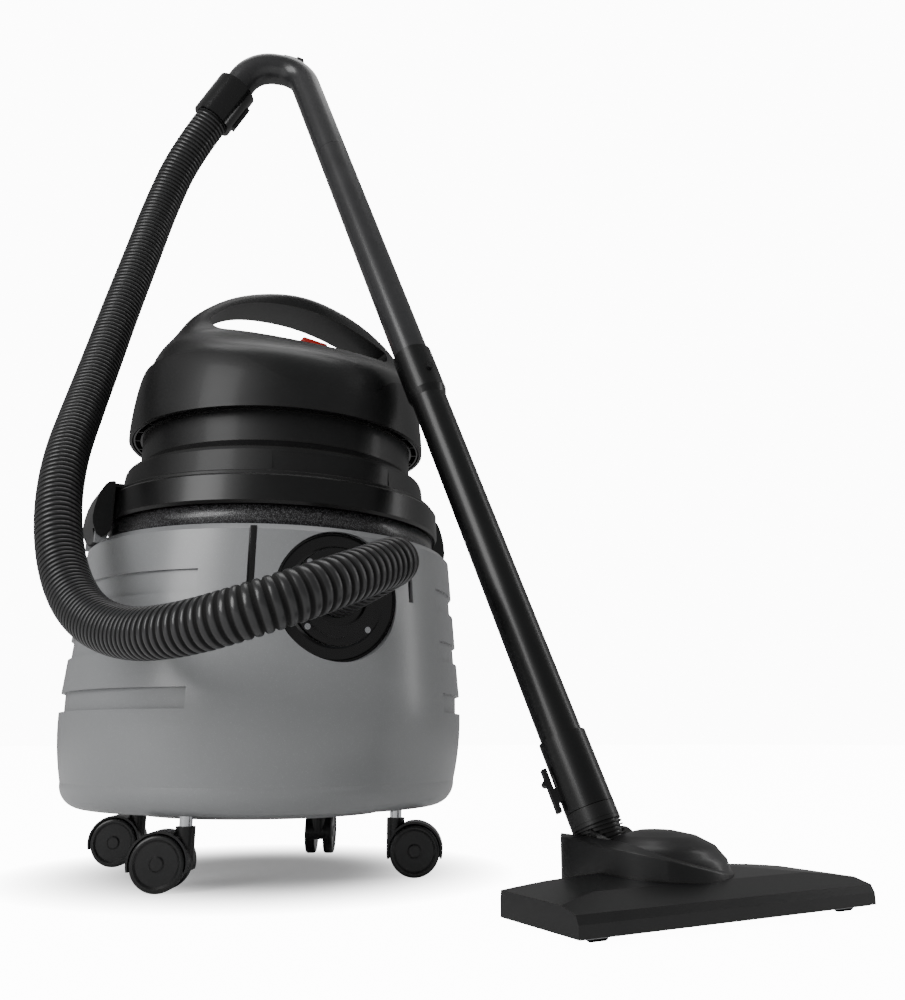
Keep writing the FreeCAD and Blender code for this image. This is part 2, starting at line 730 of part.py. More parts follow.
def rib_stations(length):
    """Distance along the hose and radius of each circle: a plain end, four circles a rib, a plain end."""
    pitch = (length - 2.0 * hose_end_plain) / rib_count
    stations = [(0.0, hose_r), (hose_end_plain - rib_rise, hose_r)]
    for k in range(rib_count):
        s = hose_end_plain + k * pitch
        root = (1.0 - rib_top_share) * pitch - 2.0 * rib_rise
        stations += [(s, hose_root_r), (s + root, hose_root_r), (s + root + rib_rise, hose_r),
                     (s + pitch - rib_rise, hose_r)]
    stations += [(length - hose_end_plain, hose_root_r), (length - hose_end_plain + rib_rise, hose_r), (length, hose_r)]
    return stations


def make_hose():
    path, radii, edges = arc_path(hose_points)
    print("hose arc radii", [round(r) for r in radii])
    print("hose length", round(path.Length, 1))
    across = hose_start.cross(UP).normalize()
    wires = []
    for s, r in rib_stations(path.Length):
        centre, tangent = at_length(edges, s)
        across = (across - tangent * across.dot(tangent)).normalize()
        turn = FreeCAD.Rotation(across, tangent.cross(across), tangent, "ZXY")
        ring = Part.makeCircle(r)
        ring.Placement = FreeCAD.Placement(centre, turn)
        wires.append(Part.Wire([ring]))
    outer = Part.makeLoft(wires, True, True)
    inner = pipe(path, hose_bore_r, hose_points[0], hose_start)
    hose = outer.cut(inner)
    print("hose ribs", rib_count, "volume share of plain tube", round(
        hose.Volume / (math.pi * (hose_r ** 2 - hose_bore_r ** 2) * path.Length), 3))
    return hose


# Cuff, handle and wand
wand_dir = vec(wand_lean).normalize()


def on_wand(z):
    foot = vec(wand_foot)
    return foot + wand_dir * ((z - foot.z) / wand_dir.z)


cuff_start = hose_points[-1]
cuff_dir = (vec(handle_corner_top) - cuff_start).normalize()


def make_hose_cuff():
    body = tube(cuff_r, hose_r + 0.4, 12.0, V(0, 0, -10.0))
    barrel = tube(cuff_r, tube_r + run_gap, cuff_length - 2.0, V(0, 0, 2.0))
    key = box(cuff_r - 3.0, cuff_r + 3.0, -6.0, 6.0, 0.0, cuff_length - 14.0)
    whole = union([body, barrel, key])
    notch = box(-8.0, 8.0, 0.0, cuff_r + 5.0, cuff_length - 8.0, cuff_length + 3.0)
    return along(whole.cut(notch), cuff_start, cuff_dir)


def make_handle_tube():
    joint = on_wand(handle_joint_z)
    low_corner = on_wand(handle_corner_low_z)
    top_corner = vec(handle_corner_top)
    end = cuff_start + cuff_dir * 6.0
    path, radii, edges = arc_path([joint, low_corner, top_corner, end])
    print("handle radii", [round(r) for r in radii])
    outer = pipe(path, tube_r, joint, wand_dir)
    inner = pipe(path, tube_bore_r, joint, wand_dir)
    spigot_start = joint - wand_dir * tube_overlap
    spigot = tube(tube_bore_r - run_gap, tube_bore_r - 2.0, tube_overlap + 0.5, spigot_start, wand_dir)
    step = tube(tube_bore_r + 0.5, tube_bore_r - 2.0, 6.0, joint, wand_dir)
    return union([outer.cut(inner), step, spigot])


def crest_arc():
    """Centre, axis, first spoke, radius and turn of the handle's bend that carries the air slider."""
    corner = on_wand(handle_corner_low_z)
    second = vec(handle_corner_top) - corner
    onward = V(second).normalize()
    half = wand_dir.getAngle(onward) / 2.0
    trim = 0.45 * min((corner - on_wand(handle_joint_z)).Length, second.Length)
    radius = trim / math.tan(half)
    centre = corner + (onward - wand_dir).normalize() * (radius / math.cos(half))
    axis = wand_dir.cross(onward).normalize()
    spoke = (corner - wand_dir * trim - centre).normalize()
    return centre, axis, spoke, radius, math.degrees(2.0 * half)


def make_air_slider():
    centre, axis, spoke, radius, turn = crest_arc()
    print("air slider hinge", [round(c, 2) for c in centre], [round(c, 5) for c in axis], "turn", round(turn, 1))
    half_span = math.radians(slider_span / 2.0)

    def sector(r_in, r_out, half_angle):
        c, w = math.cos(half_angle), math.sin(half_angle)
        edges = [Part.Arc(V(radius + r_in * c, 0, -r_in * w), V(radius + r_in, 0, 0), V(radius + r_in * c, 0, r_in * w)).toShape(),
                 Part.makeLine(V(radius + r_in * c, 0, r_in * w), V(radius + r_out * c, 0, r_out * w)),
                 Part.Arc(V(radius + r_out * c, 0, r_out * w), V(radius + r_out, 0, 0), V(radius + r_out * c, 0, -r_out * w)).toShape(),
                 Part.makeLine(V(radius + r_out * c, 0, -r_out * w), V(radius + r_in * c, 0, -r_in * w))]
        return Part.Face(Part.Wire(edges))

    inner = tube_r + seat_gap
    plate = sector(inner, inner + slider_thick, half_span).revolve(V(0, 0, 0), UP, slider_turn)
    grip = sector(inner + 1.0, inner + slider_thick + 4.5, half_span * 0.7).revolve(V(0, 0, 0), UP, slider_turn * 0.3)
    ridge = sector(inner + 1.0, inner + slider_thick + 2.0, half_span * 0.7).revolve(V(0, 0, 0), UP, slider_turn * 0.3)
    ridge = place_about(ridge, V(0, 0, 0), UP, slider_turn * 0.6)
    body = union([plate, place_about(grip, V(0, 0, 0), UP, slider_turn * 0.1), ridge])
    body = place_about(body, V(0, 0, 0), UP, turn - slider_turn - 4.0)
    body.Placement = FreeCAD.Placement(centre, FreeCAD.Rotation(spoke, axis.cross(spoke), axis, "ZXY")).multiply(body.Placement)
    return body


def make_upper_tube():
    low = on_wand(tube_joint_z - 45.0)
    high = on_wand(handle_joint_z - 0.3)
    return tube(tube_r, tube_bore_r, (high - low).Length, low, wand_dir)


def make_lower_tube():
    low = on_wand(lower_tube_foot_z)
    step = on_wand(tube_joint_z - 45.5)
    top = on_wand(tube_joint_z - 0.5)
    body = tube(tube_r, tube_bore_r, (step - low).Length, low, wand_dir)
    socket = tube(tube_socket_r, tube_r + run_gap, (top - step).Length, step, wand_dir)
    floor_ring = tube(tube_socket_r, tube_bore_r, 4.0, step - wand_dir * 4.0, wand_dir)
    skirt = Part.makeCone(tube_r, tube_socket_r, 8.0).cut(cyl(tube_bore_r, 10.0, V(0, 0, -1.0)))
    skirt = along(skirt, step - wand_dir * 12.0, wand_dir)
    button_hole = cyl(button_r + run_gap, 12.0, V(0, 0, 0), V(0, -1, 0))
    button_hole.translate(V(0, -tube_r + 3.0, (top - step).Length * 0.35))
    return union([body, floor_ring, skirt, socket]).cut(along(button_hole, step, wand_dir))


def make_tube_button():
    body = cyl(button_r, 3.6, V(0, -tube_r - 1.6, 0), V(0, -1, 0))
    length = (on_wand(tube_joint_z - 0.5) - on_wand(tube_joint_z - 45.5)).Length
    body.translate(V(0, 0, length * 0.35))
    return along(body, on_wand(tube_joint_z - 45.5), wand_dir)


# Castors, drawn with the stem on the Z axis and the wheel behind it along -X, then placed
def castor_shape(shape, k):
    turned = place_about(shape, V(0, 0, 0), UP, trail_angles[k] - 180.0)
    turned.translate(castor_place(k))
    return turned


def make_castor_hood():
    w = wheel_gap / 2.0 + wheel_width - 1.5
    hub = V(-castor_trail, 0, wheel_r)
    shell = tube(hood_r, hood_r - hood_wall, 2.0 * w, hub - V(0, w, 0), BACK)
    web = cyl(hood_r, hood_web, hub - V(0, hood_web / 2.0, 0), BACK)
    boss = cyl(stem_r + 3.0, 30.0, V(0, 0, 26.0))
    body = union([shell, web, boss])
    low = box(-60.0, 60.0, -60.0, 60.0, -60.0, wheel_r - 7.0)
    wheel_room = tube(hood_r - hood_wall, axle_r + 3.0, wheel_width + 1.0,
                      hub + V(0, hood_web / 2.0, 0), BACK)
    wheel_room_2 = tube(hood_r - hood_wall, axle_r + 3.0, wheel_width + 1.0,
                        hub - V(0, hood_web / 2.0 + wheel_width + 1.0, 0), BACK)
    axle_hole = cyl(axle_r + run_gap, hood_web + 2.0, hub - V(0, hood_web / 2.0 + 1.0, 0), BACK)
    stem_hole = cyl(stem_r, 40.0, V(0, 0, stem_low_z))
    return body.cut([low, wheel_room, wheel_room_2, axle_hole, stem_hole])


def make_castor_stem():
    return cyl(stem_r, stem_top_z - stem_low_z, V(0, 0, stem_low_z))


def wheel_profile(near):
    """Half section of a wheel: radius and height, with both rims rounded in three short cones."""
    turns = [math.radians(30.0 * k) for k in range(4)]
    low = [(wheel_r - rim_round * (1.0 - math.sin(a)), near + rim_round * (1.0 - math.cos(a))) for a in turns]
    high = [(r, 2.0 * near + wheel_width - z) for r, z in reversed(low)]
    return [(0.0, near)] + low + high + [(0.0, near + wheel_width)]


def make_castor_wheels():
    hub = V(-castor_trail, 0, wheel_r)
    solids = []
    for side in (1, -1):
        near = wheel_gap / 2.0
        wheel = revolve(wheel_profile(near))
        dish_cut = Part.makeCone(wheel_r - 6.0, wheel_r - 4.0, 1.6, V(0, 0, near + wheel_width - 1.6))
        hub_cap = Part.makeCone(7.0, 5.5, 1.2, V(0, 0, near + wheel_width - 1.6))
        bore = cyl(axle_r, wheel_width - 3.0, V(0, 0, near - 0.5))
        wheel = wheel.cut(dish_cut).fuse(hub_cap).cut(bore)
        wheel.rotate(V(0, 0, 0), SIDEWAYS, 90.0 * side)
        wheel.translate(hub)
        solids.append(wheel)
    return Part.makeCompound(solids)


def make_castor_axle():
    half = wheel_gap / 2.0 + wheel_width - 3.5
    return cyl(axle_r, 2.0 * half, V(-castor_trail, -half, wheel_r), BACK)


# Latches
def make_latch(side):
    inner_x = ring_r + 0.6 - latch_pin_x
    plate = box(inner_x, inner_x + latch_thick, -latch_half_width, latch_half_width, -6.0,
                latch_hook_z - latch_pin_z + 4.5)
    barrel = cyl(6.0, 2.0 * latch_half_width, V(0, -latch_half_width, 0), BACK)
    hook = box(lid_low_r + 3.0 - latch_pin_x, inner_x + 2.0, -latch_half_width, latch_half_width,
               latch_hook_z - latch_pin_z + 0.3, latch_hook_z - latch_pin_z + 4.5)
    curve = cyl(ring_r + 0.6, 200.0, V(-latch_pin_x, 0, -100.0))
    reach = latch_hook_z - latch_pin_z
    hollow = box(inner_x + 4.0, inner_x + latch_thick + 3.0, -latch_half_width + 3.0, latch_half_width - 3.0,
                 8.0, reach - 11.0)
    grip_foot = V(inner_x + latch_thick + 6.5, -latch_half_width + 4.0, reach - 1.0)
    grip = cyl(10.0, 2.0 * latch_half_width - 8.0, grip_foot, BACK)
    body = union([plate.cut(curve), barrel, hook]).cut([hollow, grip])
    body = body.cut(cyl(latch_pin_r + run_gap, 4.0 * latch_half_width, V(0, -2.0 * latch_half_width, 0), BACK))
    body.translate(V(latch_pin_x, 0, latch_pin_z))
    if side < 0:
        body = place_about(body, V(0, 0, 0), UP, 180.0)
    return body


def make_latch_pins():
    pins = []
    for side in (1, -1):
        length = 2.0 * ear_y + 6.0
        pins.append(cyl(latch_pin_r, length, V(side * latch_pin_x, -length / 2.0, latch_pin_z), BACK))
    return Part.makeCompound(pins)


def make_cover_screws():
    screws = []
    for k in range(4):
        a = math.radians(45.0 + 90.0 * k)
        spot = V((neck_r - 9.0) * math.cos(a), (neck_r - 9.0) * math.sin(a), neck_top_z + 3.2)
        screws.append(cyl(4.0, 2.6, spot).fuse(cyl(2.0, 18.0, spot - V(0, 0, 18.0))))
    return Part.makeCompound(screws)


# Floor nozzle
pivot = V(pivot_x, pivot_y, pivot_z)


def make_nozzle_socket():
    low = on_wand(nozzle_socket_low_z)
    top = on_wand(nozzle_socket_top_z)
    step = on_wand(lower_tube_foot_z - 0.3)
    body = tube(nozzle_socket_r, tube_bore_r, (top - low).Length, low, wand_dir)
    bore = cyl(tube_r + run_gap, 60.0, step, wand_dir)
    neck = tube(nozzle_socket_r - 4.0, tube_bore_r - 3.5, 14.0, low - wand_dir * 12.0, wand_dir)
    clip_hole = box(-4.0, 4.0, -nozzle_socket_r - 1.0, -nozzle_socket_r + 1.0, 12.0, 36.0)
    clip_hole = place_about(clip_hole, V(0, 0, 0), UP, clip_turn)
    floor_ring = tube(nozzle_socket_r, tube_bore_r - 3.5, 3.0, low, wand_dir)
    return union([body.cut(bore), neck, floor_ring]).cut(along(clip_hole, low, wand_dir))


def make_parking_clip():
    leaf = box(-3.9, 3.9, -nozzle_socket_r - 7.0, -nozzle_socket_r - 3.0, 4.0, 42.0)
    foot = box(-3.9, 3.9, -nozzle_socket_r - 4.0, -nozzle_socket_r + 1.0, 12.1, 24.0)
    nub = cyl(3.0, 7.8, V(-3.9, -nozzle_socket_r - 7.5, 30.0), SIDEWAYS)
    clip = place_about(union([leaf, foot, nub]), V(0, 0, 0), UP, clip_turn)
    return along(clip, on_wand(nozzle_socket_low_z), wand_dir)


def make_nozzle_elbow():
    low = on_wand(nozzle_socket_low_z)
    collar = tube(nozzle_socket_r, nozzle_socket_r - 4.0 + run_gap, 11.5, low - wand_dir * 12.0, wand_dir)
    lower = cyl(nozzle_socket_r - 2.0, (low - pivot).Length - 10.0, pivot, wand_dir)
    floor_disc = cyl(nozzle_socket_r, 3.0, low - wand_dir * 15.2, wand_dir)
    barrel = cyl(pivot_r, 2.0 * pivot_half, pivot - V(pivot_half, 0, 0), SIDEWAYS)
    ribs = []
    for k in range(6):
        rib = tube(nozzle_socket_r, nozzle_socket_r - 3.0, 1.1, V(0, 0, 0))
        rib = place_about(rib, V(0, 0, 0), SIDEWAYS, 3.5 * k)
        ribs.append(along(rib, low - wand_dir * (15.0 + 2.2 * k), wand_dir))
    body = union([collar, floor_disc, lower, barrel] + ribs)
    passage = cyl(tube_bore_r - 4.0, (low - pivot).Length + 4.0, pivot, wand_dir)
    under = cyl(duct_r, pivot_r + 4.0, pivot + V(0, 0, duct_drop), V(0, -1, 0))
    pin_hole = cyl(pivot_pin_r + run_gap, 2.0 * pivot_half + 4.0, pivot - V(pivot_half + 2.0, 0, 0), SIDEWAYS)
    above = cyl(nozzle_socket_r - 4.0 + run_gap, 30.0, low - wand_dir * 12.1, wand_dir)
    return body.cut([passage, under, above, pin_hole])


def make_pivot_pins():
    pins = []
    for side in (1, -1):
        start = pivot + V(side * (pivot_half - 6.0), 0, 0)
        pins.append(cyl(pivot_pin_r, pivot_pin_reach - pivot_half + 6.0, start, V(side, 0, 0)))
    return Part.makeCompound(pins)


def make_neck_housing():
    z0 = nozzle_neck_z
    dome = revolve([(0.0, z0), (58.0, z0), (58.0, z0 + 8.0), (54.5, z0 + 20.0), (46.0, z0 + 30.0),
                    (32.0, z0 + 37.0), (15.0, z0 + 40.5), (0.0, z0 + 41.5)])
    dome.translate(V(nozzle_x, nozzle_dome_y, 0))
    boss = Part.makeCone(34.0, 30.0, 34.0, V(pivot.x, pivot.y + 4.0, z0))
    cavity = cyl(pivot_r + seat_gap, 2.0 * (pivot_half + seat_gap), pivot - V(pivot_half + seat_gap, 0, 0), SIDEWAYS)
    half = nozzle_socket_r + 0.8
    slots = []
    steps = 6
    for k in range(steps + 1):
        lean = tilt_steep + (tilt_flat - tilt_steep) * k / steps
        slab = box(pivot.x - pivot_slot_left, pivot.x + pivot_slot_right, pivot.y - half, pivot.y + half,
                   pivot.z - 1.0, pivot.z + 90.0)
        slots.append(place_about(slab, pivot, SIDEWAYS, -lean))
    duct = cyl(duct_r, pivot.y - duct_y, pivot + V(0, 0, duct_drop), V(0, -1, 0))
    drop = cyl(duct_r, pivot.z + duct_drop - nozzle_low_z, V(pivot.x, duct_y, nozzle_low_z))
    pin_hole = cyl(pivot_pin_r, 2.0 * pivot_pin_reach + 0.4, pivot - V(pivot_pin_reach + 0.2, 0, 0), SIDEWAYS)
    return union([dome, boss]).cut(slots + [cavity, duct, drop, pin_hole, nozzle_outer()])


def nozzle_profile(inset):
    y0 = nozzle_front_y + inset
    y1 = nozzle_back_y - inset
    z0 = nozzle_low_z
    points = [V(0, y0, z0), V(0, y0 - 0.0, nozzle_front_z - 6.0), V(0, y0 + 3.0, nozzle_front_z - inset),
              V(0, y0 + 34.0, nozzle_back_z - 4.0 - inset), V(0, y1 - 8.0, nozzle_back_z - inset),
              V(0, y1 - 1.5, nozzle_back_z - 4.0 - inset), V(0, y1, nozzle_back_z - 14.0), V(0, y1, z0),
              V(0, y0, z0)]
    return Part.Face(Part.makePolygon(points))


def nozzle_outer():
    x0 = nozzle_x - nozzle_half_length
    outer = nozzle_profile(0.0).extrude(V(2.0 * nozzle_half_length, 0, 0))
    outer.translate(V(x0, 0, 0))
    crown = Part.Face(Part.Wire([
        Part.makeLine(V(x0, -600.0, -5.0), V(x0, -600.0, nozzle_back_z - 8.0)),
        Part.Arc(V(x0, -600.0, nozzle_back_z - 8.0), V(nozzle_x, -600.0, nozzle_back_z + 0.5),
                 V(x0 + 2.0 * nozzle_half_length, -600.0, nozzle_back_z - 8.0)).toShape(),
        Part.makeLine(V(x0 + 2.0 * nozzle_half_length, -600.0, nozzle_back_z - 8.0),
                      V(x0 + 2.0 * nozzle_half_length, -600.0, -5.0)),
        Part.makeLine(V(x0 + 2.0 * nozzle_half_length, -600.0, -5.0), V(x0, -600.0, -5.0))])).extrude(V(0, 400.0, 0))
    return outer.common(crown)


def make_nozzle_base():
    x0 = nozzle_x - nozzle_half_length
    outer = nozzle_outer()
    hollow = nozzle_profile(3.0).extrude(V(2.0 * nozzle_half_length - 6.0, 0, 0))
    hollow.translate(V(x0 + 3.0, 0, 0))
    hollow = hollow.common(box(0.0, 400.0, -600.0, 0.0, nozzle_low_z - 1.0, nozzle_front_z - 3.0))
    throat = cyl(duct_r, 60.0, V(pivot.x, duct_y, nozzle_low_z - 1.0))
    rooms = [hollow, throat]
    for side in (1, -1):
        x = nozzle_x + side * roller_x
        rooms.append(box(x - roller_width / 2.0 - 1.0, x + roller_width / 2.0 + 1.0, roller_y - 9.0, roller_y + 9.0,
                         nozzle_low_z - 1.0, nozzle_low_z + 12.0))
    return outer.cut(rooms)


def make_sole_plate():
    x0 = nozzle_x - nozzle_half_length + 3.2
    x1 = nozzle_x + nozzle_half_length - 3.2
    z0 = nozzle_low_z - 1.0
    plate = box(x0, x1, nozzle_front_y + 3.2, nozzle_back_y - 3.2, z0, z0 + sole_thick)
    cuts = [box(x0 + 22.0, x1 - 22.0, slot_front_y, slot_back_y, z0 - 1.0, z0 + 10.0)]
    ears = []
    for side in (1, -1):
        x = nozzle_x + side * roller_x
        cuts.append(box(x - roller_width / 2.0 - 1.0, x + roller_width / 2.0 + 1.0, roller_y - 9.0, roller_y + 9.0,
                        z0 - 1.0, z0 + 10.0))
        for end in (1, -1):
            xe = x + end * (roller_width / 2.0 + 2.2)
            ears.append(box(xe - 1.2, xe + 1.2, roller_y - 5.0, roller_y + 5.0, z0 + 0.5, z0 + 10.0))
    body = plate.cut(cuts)
    body = union([body] + ears)
    holes = []
    for side in (1, -1):
        x = nozzle_x + side * roller_x
        holes.append(cyl(roller_pin_r, roller_width + 12.0, V(x - roller_width / 2.0 - 6.0, roller_y, roller_r), SIDEWAYS))
    return body.cut(holes)


def make_brush_strips():
    z0 = nozzle_low_z - 1.0
    x0 = nozzle_x - nozzle_half_length + 26.0
    x1 = nozzle_x + nozzle_half_length - 26.0
    strips = []
    for y in (slot_front_y - 5.5, slot_back_y + 1.5):
        strips.append(box(x0, x1, y, y + 4.0, z0 - 3.6, z0))
    return Part.makeCompound(strips)


def make_roller(side):
    x = nozzle_x + side * roller_x
    body = cyl(roller_r, roller_width, V(x - roller_width / 2.0, roller_y, roller_r), SIDEWAYS)
    bore = cyl(roller_pin_r + run_gap, roller_width + 2.0, V(x - roller_width / 2.0 - 1.0, roller_y, roller_r), SIDEWAYS)
    return body.cut(bore)


def make_roller_pins():
    pins = []
    for side in (1, -1):
        x = nozzle_x + side * roller_x
        pins.append(cyl(roller_pin_r, roller_width + 6.0, V(x - roller_width / 2.0 - 3.0, roller_y, roller_r), SIDEWAYS))
    return Part.makeCompound(pins)


def make_cord_gland():
    body = revolve([(3.6, 0.0), (9.0, 0.0), (9.0, 3.0), (6.5, 4.0), (5.2, 26.0), (3.6, 26.0)])
    flange = tube(12.0, 3.6, 2.0, V(0, 0, -0.2))
    body = union([body, flange])
    a = math.radians(68.0)
    place = V(gland_reach * math.cos(a), gland_reach * math.sin(a), 440.0)
    return along(body, place, V(math.cos(a), math.sin(a), 0))


def make_all():
    nodes = {
        "tub": make_tub(),
        "clamp_ring": make_clamp_ring(),
        "head_gasket": make_gasket(),
        "head_base": make_head_base(),
        "motor_cover": make_motor_cover(),
        "cover_skirt": make_skirt(),
        "blower_outlet": make_blower_outlet(),
        "vent_ring": make_vent_ring(),
        "switch_bezel": make_switch_bezel(),
        "switch_rocker": make_switch_rocker(),
        "fan_housing": make_fan_housing(),
        "motor_can": make_motor_can(),
        "motor_rotor": make_rotor(),
        "float_cage": make_float_cage(),
        "float_ball": make_float_ball(),
        "filter_sleeve": make_filter(),
        "filter_plate": make_filter_plate(),
        "inlet_flange": make_inlet_flange(),
        "inlet_screws": make_inlet_screws(),
        "hose_elbow": make_hose_elbow(),
        "hose_collar": make_hose_collar(),
        "hose": make_hose(),
        "hose_cuff": make_hose_cuff(),
        "handle_tube": make_handle_tube(),
        "air_slider": make_air_slider(),
        "upper_tube": make_upper_tube(),
        "lower_tube": make_lower_tube(),
        "tube_button": make_tube_button(),
        "latch_left": make_latch(-1),
        "latch_right": make_latch(1),
        "latch_pins": make_latch_pins(),
        "cover_screws": make_cover_screws(),
        "cord_gland": make_cord_gland(),
        "nozzle_socket": make_nozzle_socket(),
        "parking_clip": make_parking_clip(),
        "nozzle_elbow": make_nozzle_elbow(),
        "pivot_pins": make_pivot_pins(),
        "neck_housing": make_neck_housing(),
        "nozzle_base": make_nozzle_base(),
        "sole_plate": make_sole_plate(),
        "brush_strips": make_brush_strips(),
        "roller_left": make_roller(-1),
        "roller_right": make_roller(1),
        "roller_pins": make_roller_pins(),
    }
    for k in range(4):
        name = castor_names[k]
        nodes["castor_hood_" + name] = castor_shape(make_castor_hood(), k)
        nodes["castor_stem_" + name] = castor_shape(make_castor_stem(), k)
        nodes["castor_axle_" + name] = castor_shape(make_castor_axle(), k)
        nodes["castor_wheels_" + name] = castor_shape(make_castor_wheels(), k)
    for node, shape in nodes.items():
        save(shape, node)


make_all()
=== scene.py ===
# %% [markdown]
# # A wet-and-dry drum vacuum cleaner
# This is a lesson in dressing a finished CAD model: a grey tub on castors, a black motor head, a ribbed hose,
# a bent handle with its wand, and a floor nozzle. The CAD gives every rigid piece its shape and its place,
# so most of the work here is the hose, the small moulded details and the plastics.

# %% Load the model
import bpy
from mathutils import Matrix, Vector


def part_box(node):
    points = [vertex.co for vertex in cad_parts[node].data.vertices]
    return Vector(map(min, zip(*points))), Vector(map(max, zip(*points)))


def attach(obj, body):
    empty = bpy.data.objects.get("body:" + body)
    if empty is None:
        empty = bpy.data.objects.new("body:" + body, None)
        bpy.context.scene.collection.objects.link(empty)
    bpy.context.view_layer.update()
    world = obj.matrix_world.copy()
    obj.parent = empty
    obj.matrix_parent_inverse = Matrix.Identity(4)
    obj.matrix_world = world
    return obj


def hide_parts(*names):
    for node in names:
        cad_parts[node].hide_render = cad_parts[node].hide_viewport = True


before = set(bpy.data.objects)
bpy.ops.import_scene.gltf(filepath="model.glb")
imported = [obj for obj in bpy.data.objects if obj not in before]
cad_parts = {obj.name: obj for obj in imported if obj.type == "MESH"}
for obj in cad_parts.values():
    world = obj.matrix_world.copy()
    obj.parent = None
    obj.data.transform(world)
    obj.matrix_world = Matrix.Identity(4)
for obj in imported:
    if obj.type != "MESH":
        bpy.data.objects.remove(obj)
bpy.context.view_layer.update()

# %% Tools for the lesson
import bpy
import bmesh
import math
from mathutils import Euler, Matrix, Vector
print("Blender", bpy.app.version_string)

# %% [markdown]
# ## The camera
# A product photograph fixes one view. The camera's place and lens came from fitting the tub's circles, the
# wheels on the floor and the wand to the picture. It stands low and looks up a little, which makes the tub's base
# curve upwards at both ends.

# %% Camera
camera_data = bpy.data.cameras.new("camera")
camera_data.sensor_fit = "HORIZONTAL"
camera_data.sensor_width = 36.0
camera_data.lens = 37.67
camera = bpy.data.objects.new("camera", camera_data)
camera.location = (-0.3348, -1.0207, 0.131)
camera.rotation_euler = (math.radians(90.0 + 14.3), 0.0, math.radians(-29.0))
bpy.context.scene.collection.objects.link(camera)
bpy.context.scene.camera = camera
print("camera", tuple(round(v, 3) for v in camera.location))

# %% [markdown]
# ## Shader sums written as plain sums
# A plastic is mostly one colour with small changes of gloss. Those changes are sums on noise, and sums are
# easier to read as Python than as a web of nodes, so this small class wraps a socket and adds a Math node for
# each sign.

# %% Socket class
class Sock:
    """A shader socket that adds a Math node for each sign."""

    def __init__(self, tree, socket):
        self.tree = tree
        self.socket = socket

    def math(self, operation, first, second=None):
        node = self.tree.nodes.new("ShaderNodeMath")
        node.operation = operation
        for slot, value in enumerate([first, second]):
            if isinstance(value, Sock):
                self.tree.links.new(value.socket, node.inputs[slot])
            elif value is not None:
                node.inputs[slot].default_value = value
        return Sock(self.tree, node.outputs[0])

    def __add__(self, other):
        return self.math("ADD", self, other)

    def __radd__(self, other):
        return self.math("ADD", other, self)

    def __sub__(self, other):
        return self.math("SUBTRACT", self, other)

    def __rsub__(self, other):
        return self.math("SUBTRACT", other, self)

    def __mul__(self, other):
        return self.math("MULTIPLY", self, other)

    def __rmul__(self, other):
        return self.math("MULTIPLY", other, self)

    def over(self, low, high):
        """A ramp that rises from 0 to 1 between two values."""
        scaled = (self - low) * (1.0 / (high - low))
        return scaled.math("MINIMUM", scaled.math("MAXIMUM", scaled, 0.0), 1.0)


print("a socket can be added, subtracted and multiplied")

# %% [markdown]
# A finish is one material. Its fixed numbers are set on the shader itself, because they are the same all over.
# Every other node comes from one method, which sets the node's own settings first and then its sockets.

# %% Finish class
class Finish:
    """A material with one Principled shader, whose fixed numbers come by name."""

    def __init__(self, name, colour, **constants):
        self.material = bpy.data.materials.new(name)
        self.material.use_nodes = True
        self.tree = self.material.node_tree
        self.shader = self.tree.nodes["Principled BSDF"]
        self.shader.inputs["Base Color"].default_value = (*colour, 1.0)
        for socket, value in constants.items():
            self.shader.inputs[socket.replace("_", " ")].default_value = value

    def node(self, kind, settings, sockets, output=0):
        node = self.tree.nodes.new(kind)
        for key, value in settings.items():
            setattr(node, key, value)
        for key, value in sockets.items():
            if isinstance(value, Sock):
                self.tree.links.new(value.socket, node.inputs[key])
            else:
                node.inputs[key].default_value = value
        return Sock(self.tree, node.outputs[output])

    def place(self):
        return self.node("ShaderNodeTexCoord", {}, {}, "Object")

    def noise(self, scale, detail=3.0, roughness=0.5):
        return self.node("ShaderNodeTexNoise", {}, {"Vector": self.place(), "Scale": scale, "Detail": detail,
                                                    "Roughness": roughness}, "Fac")

    def mix(self, share, first, second):
        return self.node("ShaderNodeMix", {"data_type": "RGBA"}, {0: share, 6: first, 7: second}, 2)

    def bump(self, height, distance, strength=1.0):
        normal = self.node("ShaderNodeBump", {}, {"Height": height, "Distance": distance, "Strength": strength})
        self.feed("Normal", normal)

    def feed(self, socket, value):
        self.tree.links.new(value.socket, self.shader.inputs[socket])


print("a finish holds one Principled shader")

# %% [markdown]
# ## From a bmesh to a piece
# Everything that isn't CAD is modelled as a bmesh, which is a mesh that can be worked on while nothing else sees
# it. In the end each one becomes an object at the origin, with its place in its mesh, as the CAD pieces have.


# %% A bmesh becomes an object
def add_piece(mesh, name):
    """An object at the origin made from a bmesh, which is freed."""
    data = bpy.data.meshes.new(name)
    mesh.to_mesh(data)
    mesh.free()
    piece = bpy.data.objects.new(name, data)
    bpy.context.scene.collection.objects.link(piece)
    return piece


print("add_piece is ready")
